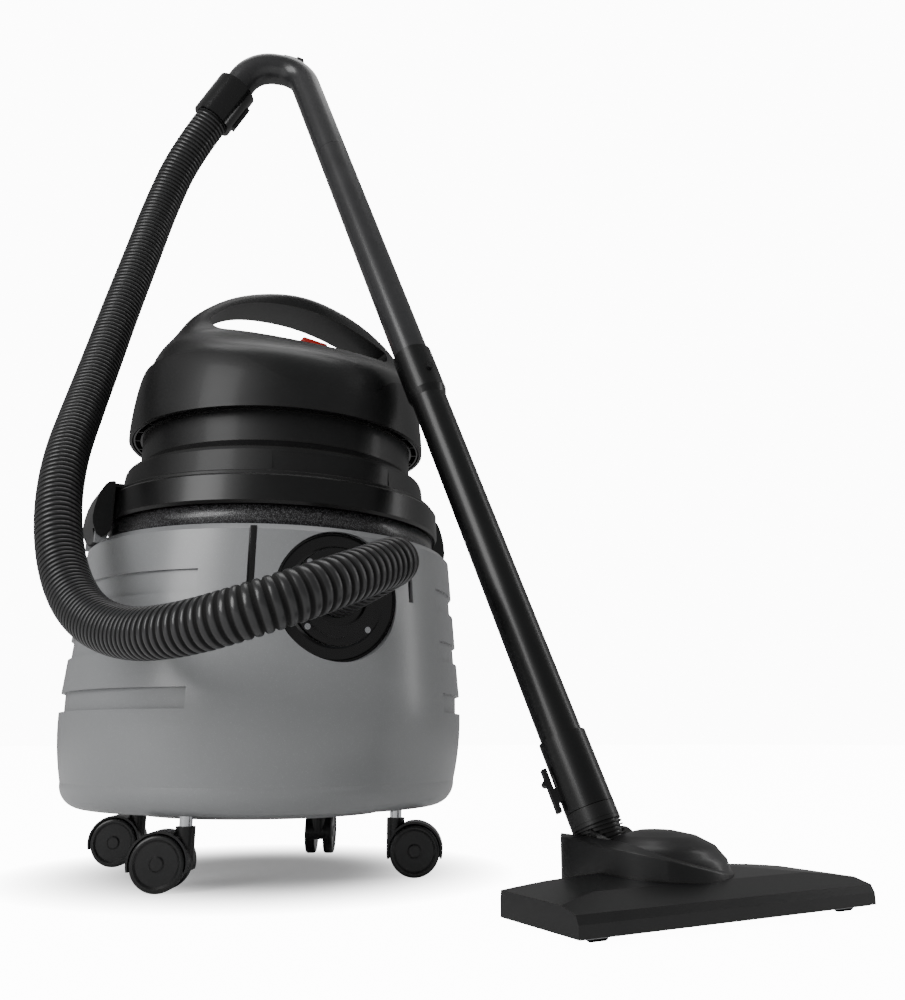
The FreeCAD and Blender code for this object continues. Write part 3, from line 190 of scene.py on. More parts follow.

# %% [markdown]
# ## The stage
# The floor is a wide pale sheet that glows about as strongly as the world behind it, so the horizon hardly
# shows. Its glow is dimmed round the tub's axis as a painted shadow, where a real sheet would lie in the tub's
# shade. Three soft area lights stand in for a studio: a large one on the left, a narrow strip on the right and
# a top light for the head.

# %% Floor
shade_core, shade_edge = 0.07, 0.27
mesh = bmesh.new()
bmesh.ops.create_grid(mesh, x_segments=1, y_segments=1, size=30.0)
floor = add_piece(mesh, "floor")
floor_finish = Finish("floor_paper", (0.93, 0.93, 0.93), Roughness=0.85, Specular_IOR_Level=0.2)
floor_finish.feed("Roughness", floor_finish.noise(2.0) * 0.1 + 0.8)
# Painted shadow: the floor's glow is dimmed towards the tub's axis, where the tub's shade would fall.
from_axis = floor_finish.node("ShaderNodeVectorMath", {"operation": "LENGTH"},
                              {0: floor_finish.place()}, "Value")
clear_of_tub = from_axis.over(shade_core, shade_edge)
open_floor = clear_of_tub * clear_of_tub * clear_of_tub
glow_colour_with_painted_shadow = floor_finish.mix(open_floor, (0.015, 0.015, 0.015, 1.0), (1.0, 1.0, 1.0, 1.0))
floor_glow_with_painted_shadow = floor_finish.node("ShaderNodeEmission", {}, {"Color": glow_colour_with_painted_shadow, "Strength": 13.0})
paper = Sock(floor_finish.tree, floor_finish.shader.outputs[0])
lit_paper = floor_finish.node("ShaderNodeAddShader", {}, {0: paper, 1: floor_glow_with_painted_shadow})
seen_by_camera = floor_finish.node("ShaderNodeLightPath", {}, {}, "Is Camera Ray")
floor_shader = floor_finish.node("ShaderNodeMixShader", {}, {0: seen_by_camera, 1: paper, 2: lit_paper})
floor_finish.tree.links.new(floor_shader.socket, floor_finish.tree.nodes["Material Output"].inputs["Surface"])
floor.data.materials.append(floor_finish.material)
print("floor", floor.dimensions[:])

# %% World
world = bpy.data.worlds.new("studio")
bpy.context.scene.world = world
world.use_nodes = True
world_tree = world.node_tree
sky = world_tree.nodes["Background"]
sky.inputs["Color"].default_value = (1.0, 1.0, 1.0, 1.0)
sky.inputs["Strength"].default_value = 0.27
seen = world_tree.nodes.new("ShaderNodeBackground")
seen.inputs["Color"].default_value = (1.0, 1.0, 1.0, 1.0)
seen.inputs["Strength"].default_value = 12.0
rays = world_tree.nodes.new("ShaderNodeLightPath")
blend = world_tree.nodes.new("ShaderNodeMixShader")
world_tree.links.new(rays.outputs["Is Camera Ray"], blend.inputs[0])
world_tree.links.new(sky.outputs[0], blend.inputs[1])
world_tree.links.new(seen.outputs[0], blend.inputs[2])
world_tree.links.new(blend.outputs[0], world_tree.nodes["World Output"].inputs["Surface"])
print("world", sky.inputs["Strength"].default_value)


# %% Lights
def soft_light(name, place, target, width, height, power):
    data = bpy.data.lights.new(name, "AREA")
    data.shape = "RECTANGLE"
    data.size = width
    data.size_y = height
    data.energy = power
    light = bpy.data.objects.new(name, data)
    light.location = place
    light.rotation_euler = (Vector(target) - Vector(place)).to_track_quat("-Z", "Y").to_euler()
    bpy.context.scene.collection.objects.link(light)
    return light


soft_light("key", (-2.6, -1.15, 1.7), (0.0, 0.0, 0.4), 1.4, 2.2, 72.0)
soft_light("strip", (2.4, -0.9, 1.4), (0.1, -0.1, 0.4), 0.4, 2.4, 13.0)
soft_light("top", (0.2, 0.6, 2.8), (0.0, 0.0, 0.5), 1.8, 1.4, 17.0)
print("three lights")

# %% [markdown]
# ## Plastics
# The tub is a grey polypropylene moulding: satin, with a very fine metallic fleck and a faint orange-peel skin.
# The black pieces are the same kind of plastic with a finer grain, and each black has its own shade, roughness,
# coat and grain. Grain is a fine noise on the piece's own coordinates, which are in metres, so a grain of 1 mm
# needs a scale near 1000.

# %% Tub plastic
tub_finish = Finish("tub_grey", (0.25, 0.255, 0.262), Roughness=0.3, Coat_Roughness=0.2, IOR=1.5)
fleck = tub_finish.noise(1500.0, 1.0).over(0.62, 0.74)
cloud = tub_finish.noise(7.0, 2.0)
tub_shade = tub_finish.mix(cloud, (0.235, 0.24, 0.246, 1.0), (0.28, 0.286, 0.293, 1.0))
tub_finish.feed("Base Color", tub_finish.mix(fleck * 0.35, tub_shade, (0.5, 0.51, 0.53, 1.0)))
tub_finish.feed("Roughness", cloud * 0.1 + 0.28)
tub_finish.feed("Coat Weight", cloud * 0.2 + 0.15)
tub_finish.bump(tub_finish.noise(260.0, 2.0), 0.00012, 0.35)
print(tub_finish.material.name)


# %% Black plastics
def black_plastic(name, shade, rough, coat, grain):
    finish = Finish(name, (shade, shade, shade * 1.05), Roughness=rough, Coat_Roughness=0.15, IOR=1.43)
    wear = finish.noise(24.0, 4.0, 0.6)
    finish.feed("Base Color", finish.mix(wear, (shade * 0.8, shade * 0.8, shade * 0.84, 1.0),
                                         (shade * 1.35, shade * 1.35, shade * 1.42, 1.0)))
    finish.feed("Roughness", wear * 0.12 + (rough - 0.06))
    finish.feed("Coat Weight", wear * 0.15 + coat)
    finish.bump(finish.noise(900.0, 2.0), 0.00006, grain)
    return finish


satin_black = black_plastic("satin_black", 0.005, 0.42, 0.05, 0.4)
gloss_black = black_plastic("gloss_black", 0.004, 0.2, 0.45, 0.12)
grained_black = black_plastic("grained_black", 0.004, 0.5, 0.0, 0.7)
# Painted light: the handle and upper tube get a lighter black than the lower tube, standing in for the light on
# them.
painted_lit_wand_black = black_plastic("painted_lit_wand_black", 0.026, 0.34, 0.15, 0.2)
low_wand_black = black_plastic("low_wand_black", 0.003, 0.36, 0.04, 0.15)
wheel_black = black_plastic("wheel_black", 0.005, 0.36, 0.1, 0.35)
print("six blacks")

# %% Rubber and cloth
seal_rubber = Finish("seal_rubber", (0.012, 0.012, 0.012), Roughness=0.75)
seal_rubber.feed("Roughness", seal_rubber.noise(300.0) * 0.15 + 0.68)
seal_rubber.bump(seal_rubber.noise(1200.0), 0.00005, 0.5)
filter_cloth = Finish("filter_cloth", (0.7, 0.69, 0.64), Roughness=0.95)
fibres = filter_cloth.noise(500.0, 5.0, 0.7)
filter_cloth.feed("Base Color", filter_cloth.mix(fibres, (0.58, 0.57, 0.52, 1.0), (0.8, 0.79, 0.74, 1.0)))
filter_cloth.bump(fibres, 0.0003, 0.7)
print("rubber and cloth")

# %% [markdown]
# ## Metals
# The castor stems are plated and bright. The motor's can and the sole plate are pressed steel, with a brushed
# grain that runs one way, which a noise stretched along one axis gives.

# %% Metals
plated = Finish("plated_steel", (0.62, 0.63, 0.65), Metallic=1.0, Roughness=0.18)
plated.feed("Roughness", plated.noise(180.0) * 0.12 + 0.12)
pressed = Finish("pressed_steel", (0.5, 0.5, 0.52), Metallic=1.0, Roughness=0.35)
stretched = pressed.node("ShaderNodeMapping", {}, {"Vector": pressed.place(), "Scale": (1.0, 40.0, 40.0)})
brushing = pressed.node("ShaderNodeTexNoise", {}, {"Vector": stretched, "Scale": 60.0, "Detail": 3.0}, "Fac")
pressed.feed("Roughness", brushing * 0.25 + 0.25)
pressed.bump(brushing, 0.00004, 0.5)
print("metals")

# %% [markdown]
# ## The switch
# The rocker is clear red plastic. Some light passes through it, and a weak uneven glow, which is painted light,
# keeps it from going black in the shade between the handle's feet. The float in the head is plain white plastic.

# %% Red rocker
rocker_red = Finish("rocker_red", (0.4, 0.012, 0.01), Roughness=0.16, IOR=1.49, Transmission_Weight=0.2,
                    Emission_Strength=0.08)
# Painted light: a weak red glow so that the rocker doesn't go black in the shade between the handle's feet.
glow = rocker_red.noise(120.0, 1.0)
rocker_red.feed("Emission Color", rocker_red.mix(glow, (0.6, 0.02, 0.01, 1.0), (1.0, 0.08, 0.03, 1.0)))
rocker_red.feed("Roughness", glow * 0.08 + 0.12)
float_white = Finish("float_white", (0.75, 0.75, 0.72), Roughness=0.3)
float_white.feed("Roughness", float_white.noise(90.0) * 0.1 + 0.25)
print("rocker and float")

# %% [markdown]
# ## Dressing the CAD pieces
# Each CAD node keeps its mesh, and only its material slot changes. One table gives every node its finish, so a
# piece that is missed shows up at once in the printed count.

# %% Finish table
castors = ("front_left", "front_right", "back_right", "back_left")
finish_of = {
    tub_finish: ["tub"],
    satin_black: ["motor_cover", "neck_housing", "nozzle_base", "nozzle_elbow", "switch_bezel", "cord_gland",
                  "vent_ring", "blower_outlet"],
    grained_black: ["cover_skirt", "head_base", "fan_housing", "float_cage", "filter_plate", "air_slider",
                    "tube_button", "parking_clip"],
    gloss_black: ["inlet_flange", "hose_elbow", "hose_collar", "hose_cuff"],
    painted_lit_wand_black: ["handle_tube", "upper_tube"],
    low_wand_black: ["lower_tube", "nozzle_socket", "clamp_ring", "latch_left", "latch_right"],
    wheel_black: ["castor_hood_" + c for c in castors] + ["castor_wheels_" + c for c in castors]
    + ["roller_left", "roller_right"],
    seal_rubber: ["head_gasket"],
    filter_cloth: ["filter_sleeve"],
    plated: ["castor_stem_" + c for c in castors] + ["castor_axle_" + c for c in castors]
    + ["inlet_screws", "cover_screws"],
    pressed: ["motor_can", "motor_rotor", "sole_plate", "latch_pins", "pivot_pins", "roller_pins"],
    rocker_red: ["switch_rocker"],
    float_white: ["float_ball"],
}
dressed = 0
for finish, names in finish_of.items():
    for name in names:
        node = bpy.data.objects[name]
        node.data.materials.clear()
        node.data.materials.append(finish.material)
        dressed += 1
print("dressed", dressed, "of", len(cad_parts))

# %% [markdown]
# ## The hose
# A vacuum hose is a ribbed tube that hangs in one smooth curve from the handle, sweeps out in front of the tub
# and turns back into the inlet. Its centre line is a NURBS curve drawn by a handful of control points. The ribs
# are rings 5.7 mm apart, and 8.2 mm near the spout, nearly flat on top with a narrow groove between, so the tube
# is a grid that is wrapped round the curve, with its radius set by the distance along it.


# %% Smooth lines
def smooth_line(name, points):
    """Points, in metres, along a NURBS line through control points in millimetres."""
    data = bpy.data.curves.new(name, "CURVE")
    data.dimensions = "3D"
    data.resolution_u = 24
    spline = data.splines.new("NURBS")
    spline.points.add(len(points) - 1)
    for point, place in zip(spline.points, points):
        point.co = (place[0] / 1000.0, place[1] / 1000.0, place[2] / 1000.0, 1.0)
    spline.order_u = 3
    spline.use_endpoint_u = True
    holder = bpy.data.objects.new(name, data)
    sampled = bpy.data.meshes.new_from_object(holder)
    line = [v.co.copy() for v in sampled.vertices]
    bpy.data.meshes.remove(sampled)
    bpy.data.objects.remove(holder)
    return line


hose_route = ((-5.0, -313.0, 275.0), (-65.0, -354.0, 249.0), (-128.0, -353.0, 224.0), (-172.0, -305.0, 210.0),
              (-200.0, -240.0, 212.0), (-222.0, -178.0, 234.0), (-236.0, -130.0, 277.0), (-242.0, -98.0, 335.0),
              (-236.0, -60.0, 399.0), (-219.0, -16.0, 466.0), (-200.0, 22.0, 540.0), (-181.0, 53.0, 618.0),
              (-160.0, 75.0, 700.0), (-139.0, 94.0, 786.0), (-113.9, 91.6, 869.1), (-82.0, 76.0, 929.0))
hose_points = smooth_line("hose_line", hose_route)
hose_length = sum((b - a).length for a, b in zip(hose_points, hose_points[1:]))
print("hose length", round(hose_length, 4), "points", len(hose_points))


# %% Walking along a line
def along_line(line, distance):
    """The point at a distance along a line."""
    for a, b in zip(line, line[1:]):
        step = (b - a).length
        if distance <= step:
            return a.lerp(b, distance / step)
        distance -= step
    return line[-1].copy()


def frames_along(line, distances):
    """Centre, side and up at given distances on a line, with the sides turned as little as possible."""
    reach = 0.004
    length = distances[-1]
    side = Vector((0.0, 0.0, 1.0))
    frames = []
    for distance in distances:
        near = along_line(line, max(0.0, distance - reach))
        far = along_line(line, min(length, distance + reach))
        ahead = (far - near).normalized()
        side = (side - ahead * side.dot(ahead)).normalized()
        frames.append((along_line(line, distance), side.copy(), ahead.cross(side)))
    return frames


print("middle of the hose", tuple(round(c, 3) for c in along_line(hose_points, hose_length / 2.0)))

# %% Ribbed tube
long_pitch, short_pitch = 0.0082, 0.0057
shortening = 0.12
rings_per_rib = 6
around = 40
groove_r, crest_r = 0.0183, 0.02095
rib_shape = (0.0, 0.7, 0.99, 1.0, 0.99, 0.7)


def close_grid(mesh):
    """Merges a wrapped grid's seam, closes its two ends and turns its faces outwards."""
    bmesh.ops.remove_doubles(mesh, verts=mesh.verts, dist=0.00001)
    bmesh.ops.holes_fill(mesh, edges=[e for e in mesh.edges if e.is_boundary], sides=0)
    bmesh.ops.recalc_face_normals(mesh, faces=mesh.faces)


def ribbed_tube(name, line, long_ribs):
    """A grid wrapped round a line, whose radius rises and falls once a rib.

    The ribs keep the long pitch for a distance and then shorten."""
    length = sum((b - a).length for a, b in zip(line, line[1:]))
    starts = [0.0]
    while starts[-1] < length - short_pitch / 2.0:
        share = min(1.0, max(0.0, (starts[-1] - long_ribs) / shortening))
        starts.append(starts[-1] + long_pitch + (short_pitch - long_pitch) * share)
    fit = length / starts[-1]
    distances = [fit * (a + (b - a) * k / rings_per_rib)
                 for a, b in zip(starts, starts[1:]) for k in range(rings_per_rib)]
    distances.append(length)
    ring_count = len(distances) - 1
    frames = frames_along(line, distances)
    mesh = bmesh.new()
    crest = mesh.verts.layers.float.new("crest")
    bmesh.ops.create_grid(mesh, x_segments=ring_count, y_segments=around, size=0.5)
    for vert in mesh.verts:
        k = round((vert.co.x + 0.5) * ring_count)
        angle = 2.0 * math.pi * (vert.co.y + 0.5)
        centre, side, up = frames[k]
        vert[crest] = rib_shape[k % rings_per_rib]
        radius = groove_r + (crest_r - groove_r) * vert[crest]
        vert.co = centre + (side * math.cos(angle) + up * math.sin(angle)) * radius
    close_grid(mesh)
    for face in mesh.faces:
        face.smooth = True
    print(name, "ribs", ring_count // rings_per_rib, "faces", len(mesh.faces))
    return add_piece(mesh, name)


ribbed_hose = ribbed_tube("ribbed_hose", hose_points, long_ribs=0.12)

# %% [markdown]
# The hose ends in a bent spout of the same ribbed plastic, which turns from the tub's inlet to the side. It is
# rigid, so it is a piece of the cleaner and not of the hose, but it is wrapped in the same way.

# %% Ribbed spout
spout_route = ((0.0, -192.0, 263.0), (3.0, -240.0, 270.0), (19.9, -296.0, 285.8), (-5.0, -313.0, 275.0))
ribbed_spout = ribbed_tube("ribbed_spout", smooth_line("spout_line", spout_route), long_ribs=0.2)

# %% [markdown]
# The hose is glossy on its crests, where it rubs, and a faint dust noise runs through its roughness. Its colour
# is lighter on the crests, a painted sheen, and darker in the grooves, painted shade. The grid kept each
# ring's height as an attribute, so the finish reads that instead of guessing from the shape.

# %% Hose finish
hose_finish = Finish("hose_gloss", (0.012, 0.012, 0.013), Roughness=0.22, Coat_Roughness=0.12, IOR=1.5)
crest_height = hose_finish.node("ShaderNodeAttribute", {"attribute_name": "crest"}, {}, "Fac")
dust = hose_finish.noise(60.0, 4.0, 0.6)
crest_top = crest_height.over(0.7, 0.97)
# Painted light: a lighter colour on the crests as a painted sheen and a darker one in the grooves as painted
# shade.
painted_rib_sheen_and_shade = hose_finish.mix(crest_top, (0.0006, 0.0006, 0.0006, 1.0), (0.022, 0.022, 0.023, 1.0))
hose_finish.feed("Base Color", painted_rib_sheen_and_shade)
hose_finish.feed("Roughness", (1.0 - crest_top) * 0.55 + dust * 0.08 + 0.3)
hose_finish.feed("Coat Weight", crest_top * 0.2)
for piece in (ribbed_hose, ribbed_spout):
    piece.data.materials.append(hose_finish.material)
    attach(piece, "canister")
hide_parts("hose_elbow", "hose_collar")
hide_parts("hose")
print("hose declared", round(hose_length, 3))

# %% [markdown]
# ## Brush strips
# The two strips in the nozzle's sole are rows of short stiff bristles in a thin rail. Each tuft is a slim cut
# cone, and the tufts lean a little differently along the rail, so that the row isn't a comb.

# %% Bristles
mesh = bmesh.new()
low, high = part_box("brush_strips")
rail_width, rail_height = 0.004, 0.0012
rows = (low[1] + rail_width / 2.0, high[1] - rail_width / 2.0)
tufts = 60
tuft_length, tuft_middle = high[2] - low[2] - 0.0011, (low[2] + high[2] - 0.001) / 2.0 + 0.0001
for row in rows:
    rail = bmesh.ops.create_cube(mesh, size=1.0)["verts"]
    bmesh.ops.scale(mesh, verts=rail, vec=(high[0] - low[0], rail_width, rail_height))
    bmesh.ops.translate(mesh, verts=rail, vec=((low[0] + high[0]) / 2.0, row, high[2] - rail_height / 2.0))
    for k in range(tufts):
        tuft = bmesh.ops.create_cone(mesh, cap_ends=True, segments=6, radius1=0.0017, radius2=0.0011,
                                     depth=tuft_length)["verts"]
        lean = 0.06 * math.sin(k * 2.4 + row * 900.0)
        bmesh.ops.rotate(mesh, verts=tuft, cent=(0, 0, 0), matrix=Matrix.Rotation(lean, 3, "Y"))
        x = low[0] + (high[0] - low[0]) * (k + 0.5) / tufts
        bmesh.ops.translate(mesh, verts=tuft, vec=(x, row, tuft_middle))
print("tufts", 2 * tufts, "faces", len(mesh.faces))
bristles = add_piece(mesh, "bristle_rows")
bristle_black = Finish("bristle_black", (0.02, 0.02, 0.02), Roughness=0.55)
hairs = bristle_black.node("ShaderNodeMapping", {},
                           {"Vector": bristle_black.place(), "Scale": (1.0, 1.0, 0.05)})
strands = bristle_black.node("ShaderNodeTexNoise", {}, {"Vector": hairs, "Scale": 4000.0, "Detail": 2.0}, "Fac")
strand_shade = bristle_black.mix(strands, (0.008, 0.008, 0.008, 1.0), (0.05, 0.05, 0.052, 1.0))
bristle_black.feed("Base Color", strand_shade)
bristles.data.materials.append(bristle_black.material)
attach(bristles, "floor_head")
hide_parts("brush_strips")

# %% [markdown]
# ## The rocker
# The switch stands up between the handle's feet, so its red lens shows over the edge of the slot from the floor.
# It is a small block with softened edges that lies a few degrees off level, as a rocker does.


# %% A block with soft edges
def soft_block(name, size, round_by, place, turn):
    """A bevelled block of a size, turned and then put in its place."""
    mesh = bmesh.new()
    block = bmesh.ops.create_cube(mesh, size=1.0)["verts"]
    bmesh.ops.scale(mesh, verts=block, vec=size)
    bmesh.ops.bevel(mesh, geom=mesh.edges[:], offset=round_by, offset_type="OFFSET", affect="EDGES",
                    segments=3, profile=0.5, material=-1)
    bmesh.ops.rotate(mesh, verts=mesh.verts, cent=(0, 0, 0), matrix=turn.to_matrix())
    bmesh.ops.translate(mesh, verts=mesh.verts, vec=place)
    for face in mesh.faces:
        face.smooth = True
    return add_piece(mesh, name)


print("soft_block is ready")

# %% Rocker lens
low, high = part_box("switch_rocker")
middle = [(a + b) / 2.0 for a, b in zip(low, high)]
lens_size, lens_rise = (0.031, 0.0135, 0.021), 0.0115
rocker_lens = soft_block("rocker_lens", lens_size, 0.002, (middle[0], middle[1], low[2] + lens_rise),
                         Euler((0.0, math.radians(7.0), 0.0)))
rocker_lens.data.materials.append(rocker_red.material)
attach(rocker_lens, "rocker")
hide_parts("switch_rocker")
print("rocker top", round(low[2] + lens_rise + lens_size[2] / 2.0, 4))

# %% [markdown]
# ## The air slider's tab
# On top of the handle a thin collar slides over a bleed hole. A thumb needs something to push, so it has a small
# square tab.

# %% Slider tab
low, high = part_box("air_slider")
middle = [(a + b) / 2.0 for a, b in zip(low, high)]
tab_size = (0.02, 0.018, 0.0075)
tab_place = (middle[0] + 0.003, middle[1], high[2] - 0.0078)
slider_tab = soft_block("slider_tab", tab_size, 0.0012, tab_place,
                        Euler((math.radians(-8.0), math.radians(14.0), math.radians(-20.0))))
slider_tab.data.materials.append(satin_black.material)
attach(slider_tab, "slider")
print("slider tab", [round(c, 4) for c in middle])

# %% [markdown]
# ## A band of painted shade under the clamp ring
# Between the ring and the tub's shoulder the tub's grey neck lies in the ring's shade, and a black band with a
# coarse grain of light flecks is put over it as painted shade. It is a thin ring, made by spinning a small
# section once round the tub's axis. The section is given as reach from the axis and drop below the clamp ring.


# %% Spun sections
def spin_section(mesh, places, centre, axis, steps):
    """A closed section through some places, spun once round an axis."""
    corners = [mesh.verts.new(place) for place in places]
    sides = [mesh.edges.new(pair) for pair in zip(corners, corners[1:] + corners[:1])]
    bmesh.ops.spin(mesh, geom=corners + sides, cent=centre, axis=axis, angle=2.0 * math.pi, steps=steps,
                   use_merge=True)
    bmesh.ops.recalc_face_normals(mesh, faces=mesh.faces)


print("spin_section is ready")

# %% Neck band
mesh = bmesh.new()
ring_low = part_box("clamp_ring")[0][2]
band_section = ((0.1762, 0.0216), (0.1782, 0.0212), (0.1782, 0.0004), (0.1762, 0.0004))
spin_section(mesh, [(reach, 0.0, ring_low - drop) for reach, drop in band_section], (0, 0, 0), (0, 0, 1), 128)
for face in mesh.faces:
    face.smooth = abs(face.normal.z) < 0.5
neck_shade_band = add_piece(mesh, "neck_shade_band")
# Painted shade: a black band over the tub's grey neck where the clamp ring's shade falls, with light flecks in
# it.
shade_band_finish = black_plastic("shade_band_black", 0.006, 0.3, 0.2, 0.3)
shade_band_flecks = shade_band_finish.noise(1100.0, 2.0).over(0.5, 0.62)
shade_band_finish.feed("Base Color", shade_band_finish.mix(shade_band_flecks, (0.004, 0.004, 0.004, 1.0), (0.12, 0.12, 0.125, 1.0)))
shade_band_finish.bump(shade_band_finish.noise(700.0, 2.0), 0.0004, 0.9)
neck_shade_band.data.materials.append(shade_band_finish.material)
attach(neck_shade_band, "canister")
print("band faces", len(neck_shade_band.data.polygons))

# %% [markdown]
# ## A smooth hood for the neck
# The hood over the nozzle's neck is a moulding with no bands in it. The CAD solid has the shape in a few cone
# steps, so a copy of its mesh is merged and shaded smooth across the shallow edges and kept crisp at the slots.


# %% Smooth with crisp edges
def smooth_below(mesh, degrees):
    """Smooth shading that breaks at open edges and at edges steeper than an angle."""
    for face in mesh.faces:
        face.smooth = True
    for edge in mesh.edges:
        edge.smooth = edge.calc_face_angle(math.pi) < math.radians(degrees)


print("smooth_below is ready")

# %% Hood
mesh = bmesh.new()
mesh.from_mesh(bpy.data.objects["neck_housing"].data)
bmesh.ops.remove_doubles(mesh, verts=mesh.verts, dist=0.00002)
smooth_below(mesh, 40.0)
print("hood faces", len(mesh.faces))
neck_hood = add_piece(mesh, "neck_hood")
neck_hood.data.materials.append(satin_black.material)
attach(neck_hood, "floor_head")
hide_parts("neck_housing")

# %% [markdown]
# ## The wrap round the hood
# From the side the hood reads as one teardrop: a wall that is tall beside the hinge and sinks as it runs round
# the dome. It is a grid wrapped round a row of sections, as the hose is, and the row follows the outline of two
# circles, the hinge's boss and the dome. Its roof leans in until it meets the dome, and beside the hinge it stops
# short of the slot that the elbow swings in.

# %% Hood wrap
boss, dome = Vector((0.1815, -0.3485)), Vector((0.208, -0.386))
boss_reach, dome_reach, wrap_low = 0.0352, 0.0592, 0.0204
boss_start, boss_turn, boss_parts = 139.0, 44.7, 12
dome_start, dome_turn, dome_parts = 183.7, 190.0, 48
slot_half, sinking_parts = 0.0262, 34
boss_wall, boss_roof = 0.0545, 0.0562
wall_tall, wall_drop, roof_rise = 0.0515, 0.0215, 0.002
edge_drop, edge_lift, edge_share = 0.0012, 0.0002, 0.16
dome_steps = ((0.028, 0.058), (0.04, 0.0545), (0.05, 0.046), (0.057, 0.032), (0.0605, 0.015))


def dome_radius(z):
    """How wide the dome is at a height."""
    for (z0, r0), (z1, r1) in zip(dome_steps, dome_steps[1:]):
        if z <= z1:
            return r0 + (r1 - r0) * max(0.0, z - z0) / (z1 - z0)
    return dome_steps[-1][1]


sections = []
for k in range(boss_parts + 1):
    angle = math.radians(boss_start + boss_turn * k / boss_parts)
    ray = Vector((math.cos(angle), math.sin(angle)))
    slot_reach = min(boss_reach - 0.0006, slot_half / abs(ray.x))
    sections.append((boss + ray * boss_reach, boss + ray * slot_reach, boss_wall, boss_roof))
for k in range(dome_parts + 1):
    angle = math.radians(dome_start + dome_turn * k / dome_parts)
    ray = Vector((math.cos(angle), math.sin(angle)))
    sink = 0.5 - 0.5 * math.cos(math.pi * min(1.0, k / sinking_parts))
    top = wall_tall - wall_drop * sink
    meeting = dome_radius(top + roof_rise) - 0.0008
    sections.append((dome + ray * dome_reach, dome + ray * meeting, top, top + roof_rise))
rings = []
for outer, inner, wall_top, roof_top in sections:
    corner = outer.lerp(inner, edge_share)
    rings.append(((outer, wrap_low), (outer, wall_top - edge_drop), (corner, wall_top + edge_lift),
                  (inner, roof_top), (inner, wrap_low)))
mesh = bmesh.new()
bmesh.ops.create_grid(mesh, x_segments=len(rings) - 1, y_segments=len(rings[0]), size=0.5)
for vert in mesh.verts:
    ring = rings[round((vert.co.x + 0.5) * (len(rings) - 1))]
    spot, height = ring[round((vert.co.y + 0.5) * len(ring)) % len(ring)]
    vert.co = (spot.x, spot.y, height)
close_grid(mesh)
smooth_below(mesh, 50.0)
print("wrap faces", len(mesh.faces), "volume", round(mesh.calc_volume() * 1e6, 2), "cm3")
hood_wrap = add_piece(mesh, "hood_wrap")
hood_wrap.data.materials.append(satin_black.material)
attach(hood_wrap, "floor_head")

# %% [markdown]
# ## The latches
# Each latch is one smooth lever that leans outwards from the ring's top to its pin, with wings that hide the
# tub's grey ears. Its outline is given from the pin, in millimetres, and extruded: a core between the ears, and
# on each side a wing over the ear with a cheek outside it. The left lever is the right one turned half round.

# %% Latch levers
pin_foot = Vector((0.1915, 0.0, 0.337))
core_half, wing_start, cheek_start, cheek_end = 23.8, 23.9, 31.0, 33.0
lever_back = ((3.6, -6.2), (6.2, -3.6), (7.2, 0.0), (8.0, 3.5), (9.6, 8.0), (10.2, 14.0), (9.2, 24.0),
              (7.0, 34.0), (3.8, 43.0), (0.6, 49.0), (-3.0, 52.2), (-8.0, 53.4))
core_front = ((-19.0, 53.4), (-19.0, 49.4), (-6.5, 49.4), (-6.5, -1.5), (-3.6, -6.2))
wing_back = lever_back[3:]
wing_inside = tuple((x - 2.0, z - 0.8) for x, z in reversed(wing_back))
cheek_front = ((-9.4, 50.0), (-9.4, 6.0), (-5.5, -3.0), (0.0, -6.3), (5.5, -3.0))


def prism(mesh, outline, y_low, y_high):
    """An outline in X and Z, in millimetres from the pin, extruded along Y to a closed prism."""
    corners = [mesh.verts.new((pin_foot.x + x / 1000.0, y_low / 1000.0, pin_foot.z + z / 1000.0))
               for x, z in outline]
    grown = bmesh.ops.extrude_face_region(mesh, geom=[mesh.faces.new(corners)])["geom"]
    far_corners = [part for part in grown if isinstance(part, bmesh.types.BMVert)]
    bmesh.ops.translate(mesh, verts=far_corners, vec=(0.0, (y_high - y_low) / 1000.0, 0.0))


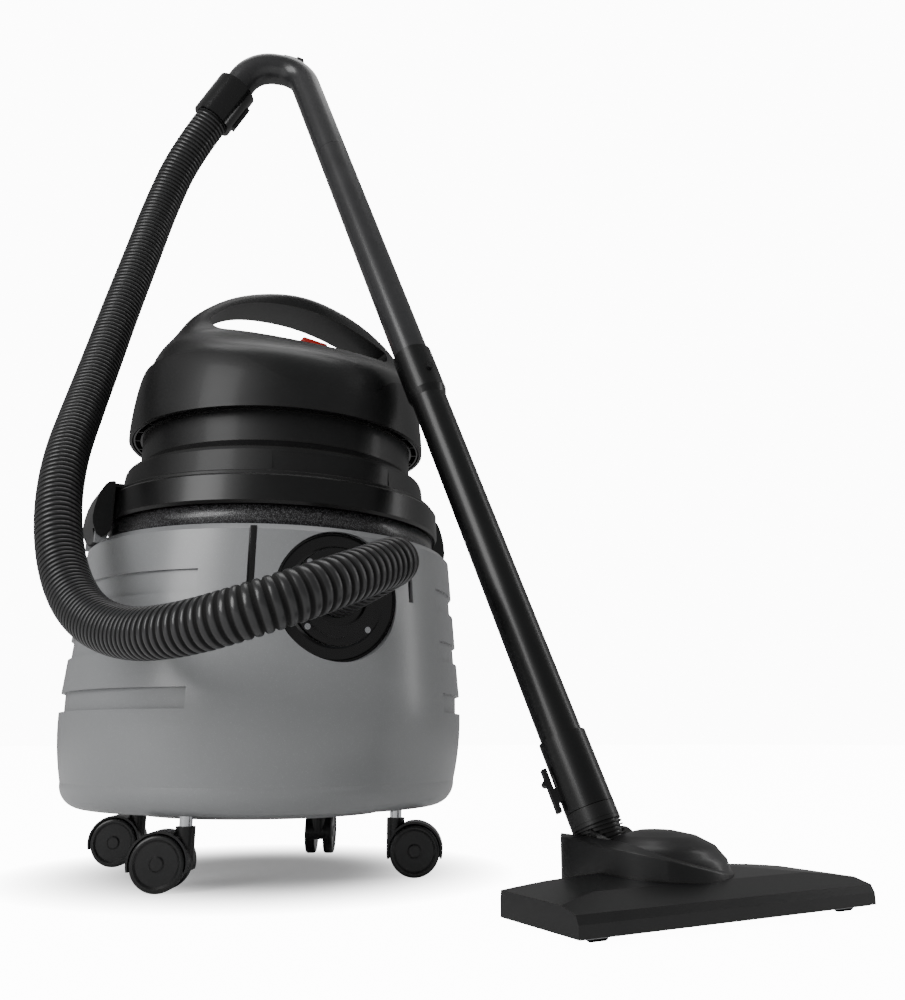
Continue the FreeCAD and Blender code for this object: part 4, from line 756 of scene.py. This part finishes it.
for name, body in (("latch_left", "left_latch"), ("latch_right", "right_latch")):
    low_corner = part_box(name)[0]
    turn = Matrix.Rotation(0.0 if low_corner[0] > 0.0 else math.pi, 3, "Z")
    mesh = bmesh.new()
    prism(mesh, lever_back + core_front, -core_half, core_half)
    for side in (-1.0, 1.0):
        prism(mesh, wing_back + wing_inside, side * wing_start, side * cheek_start)
        prism(mesh, wing_back + cheek_front, side * cheek_start, side * cheek_end)
    bmesh.ops.rotate(mesh, verts=mesh.verts, cent=(0, 0, 0), matrix=turn)
    bmesh.ops.recalc_face_normals(mesh, faces=mesh.faces)
    smooth_below(mesh, 40.0)
    lever = add_piece(mesh, name + "_lever")
    lever.data.materials.append(satin_black.material)
    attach(lever, body)
    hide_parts(name)
print("latch pin", tuple(pin_foot))

# %% [markdown]
# ## A black lining and painted groove shade on the tub
# The dish round the hose inlet is lined with a black ring, and two black strips stand in the grooves beside it as
# painted shade in those grooves. The lining is a small section spun round the inlet's own axis, which runs along
# Y.
# Its section is given as reach from that axis and depth from the dish's floor.

# %% Tub lining and groove shade
inlet_low, inlet_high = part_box("inlet_flange")
inlet_axis = Vector((0.0, 0.0, (inlet_low[2] + inlet_high[2]) / 2.0))
dish_floor = -0.189
lining_section = ((0.0466, -0.0001), (0.0616, -0.0001), (0.0616, -0.0021), (0.0596, -0.0024), (0.0584, -0.0012),
                  (0.0486, -0.0012), (0.0466, -0.0026))
strip_size, strip_turn = (0.0062, 0.0022, 0.061), 24.0
strip_reach, strip_height = 0.1963, 0.2955
mesh = bmesh.new()
spin_section(mesh, [(reach, dish_floor + depth, inlet_axis.z) for reach, depth in lining_section], inlet_axis,
             (0, 1, 0), 96)
smooth_below(mesh, 35.0)
lining_and_shade_strips = [add_piece(mesh, "dish_lining")]
# Painted shade: two gloss black strips stand for the shade that lies in the tub's grooves beside the inlet.
for name, side in (("groove_shade_left", -1.0), ("groove_shade_right", 1.0)):
    turn = Euler((0.0, 0.0, math.radians(side * strip_turn)))
    strip_place = Vector((0.0, -strip_reach, strip_height))
    strip_place.rotate(turn)
    lining_and_shade_strips.append(soft_block(name, strip_size, 0.0005, strip_place, turn))
for piece in lining_and_shade_strips:
    piece.data.materials.append(gloss_black.material)
    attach(piece, "canister")
print("trim pieces", len(lining_and_shade_strips))
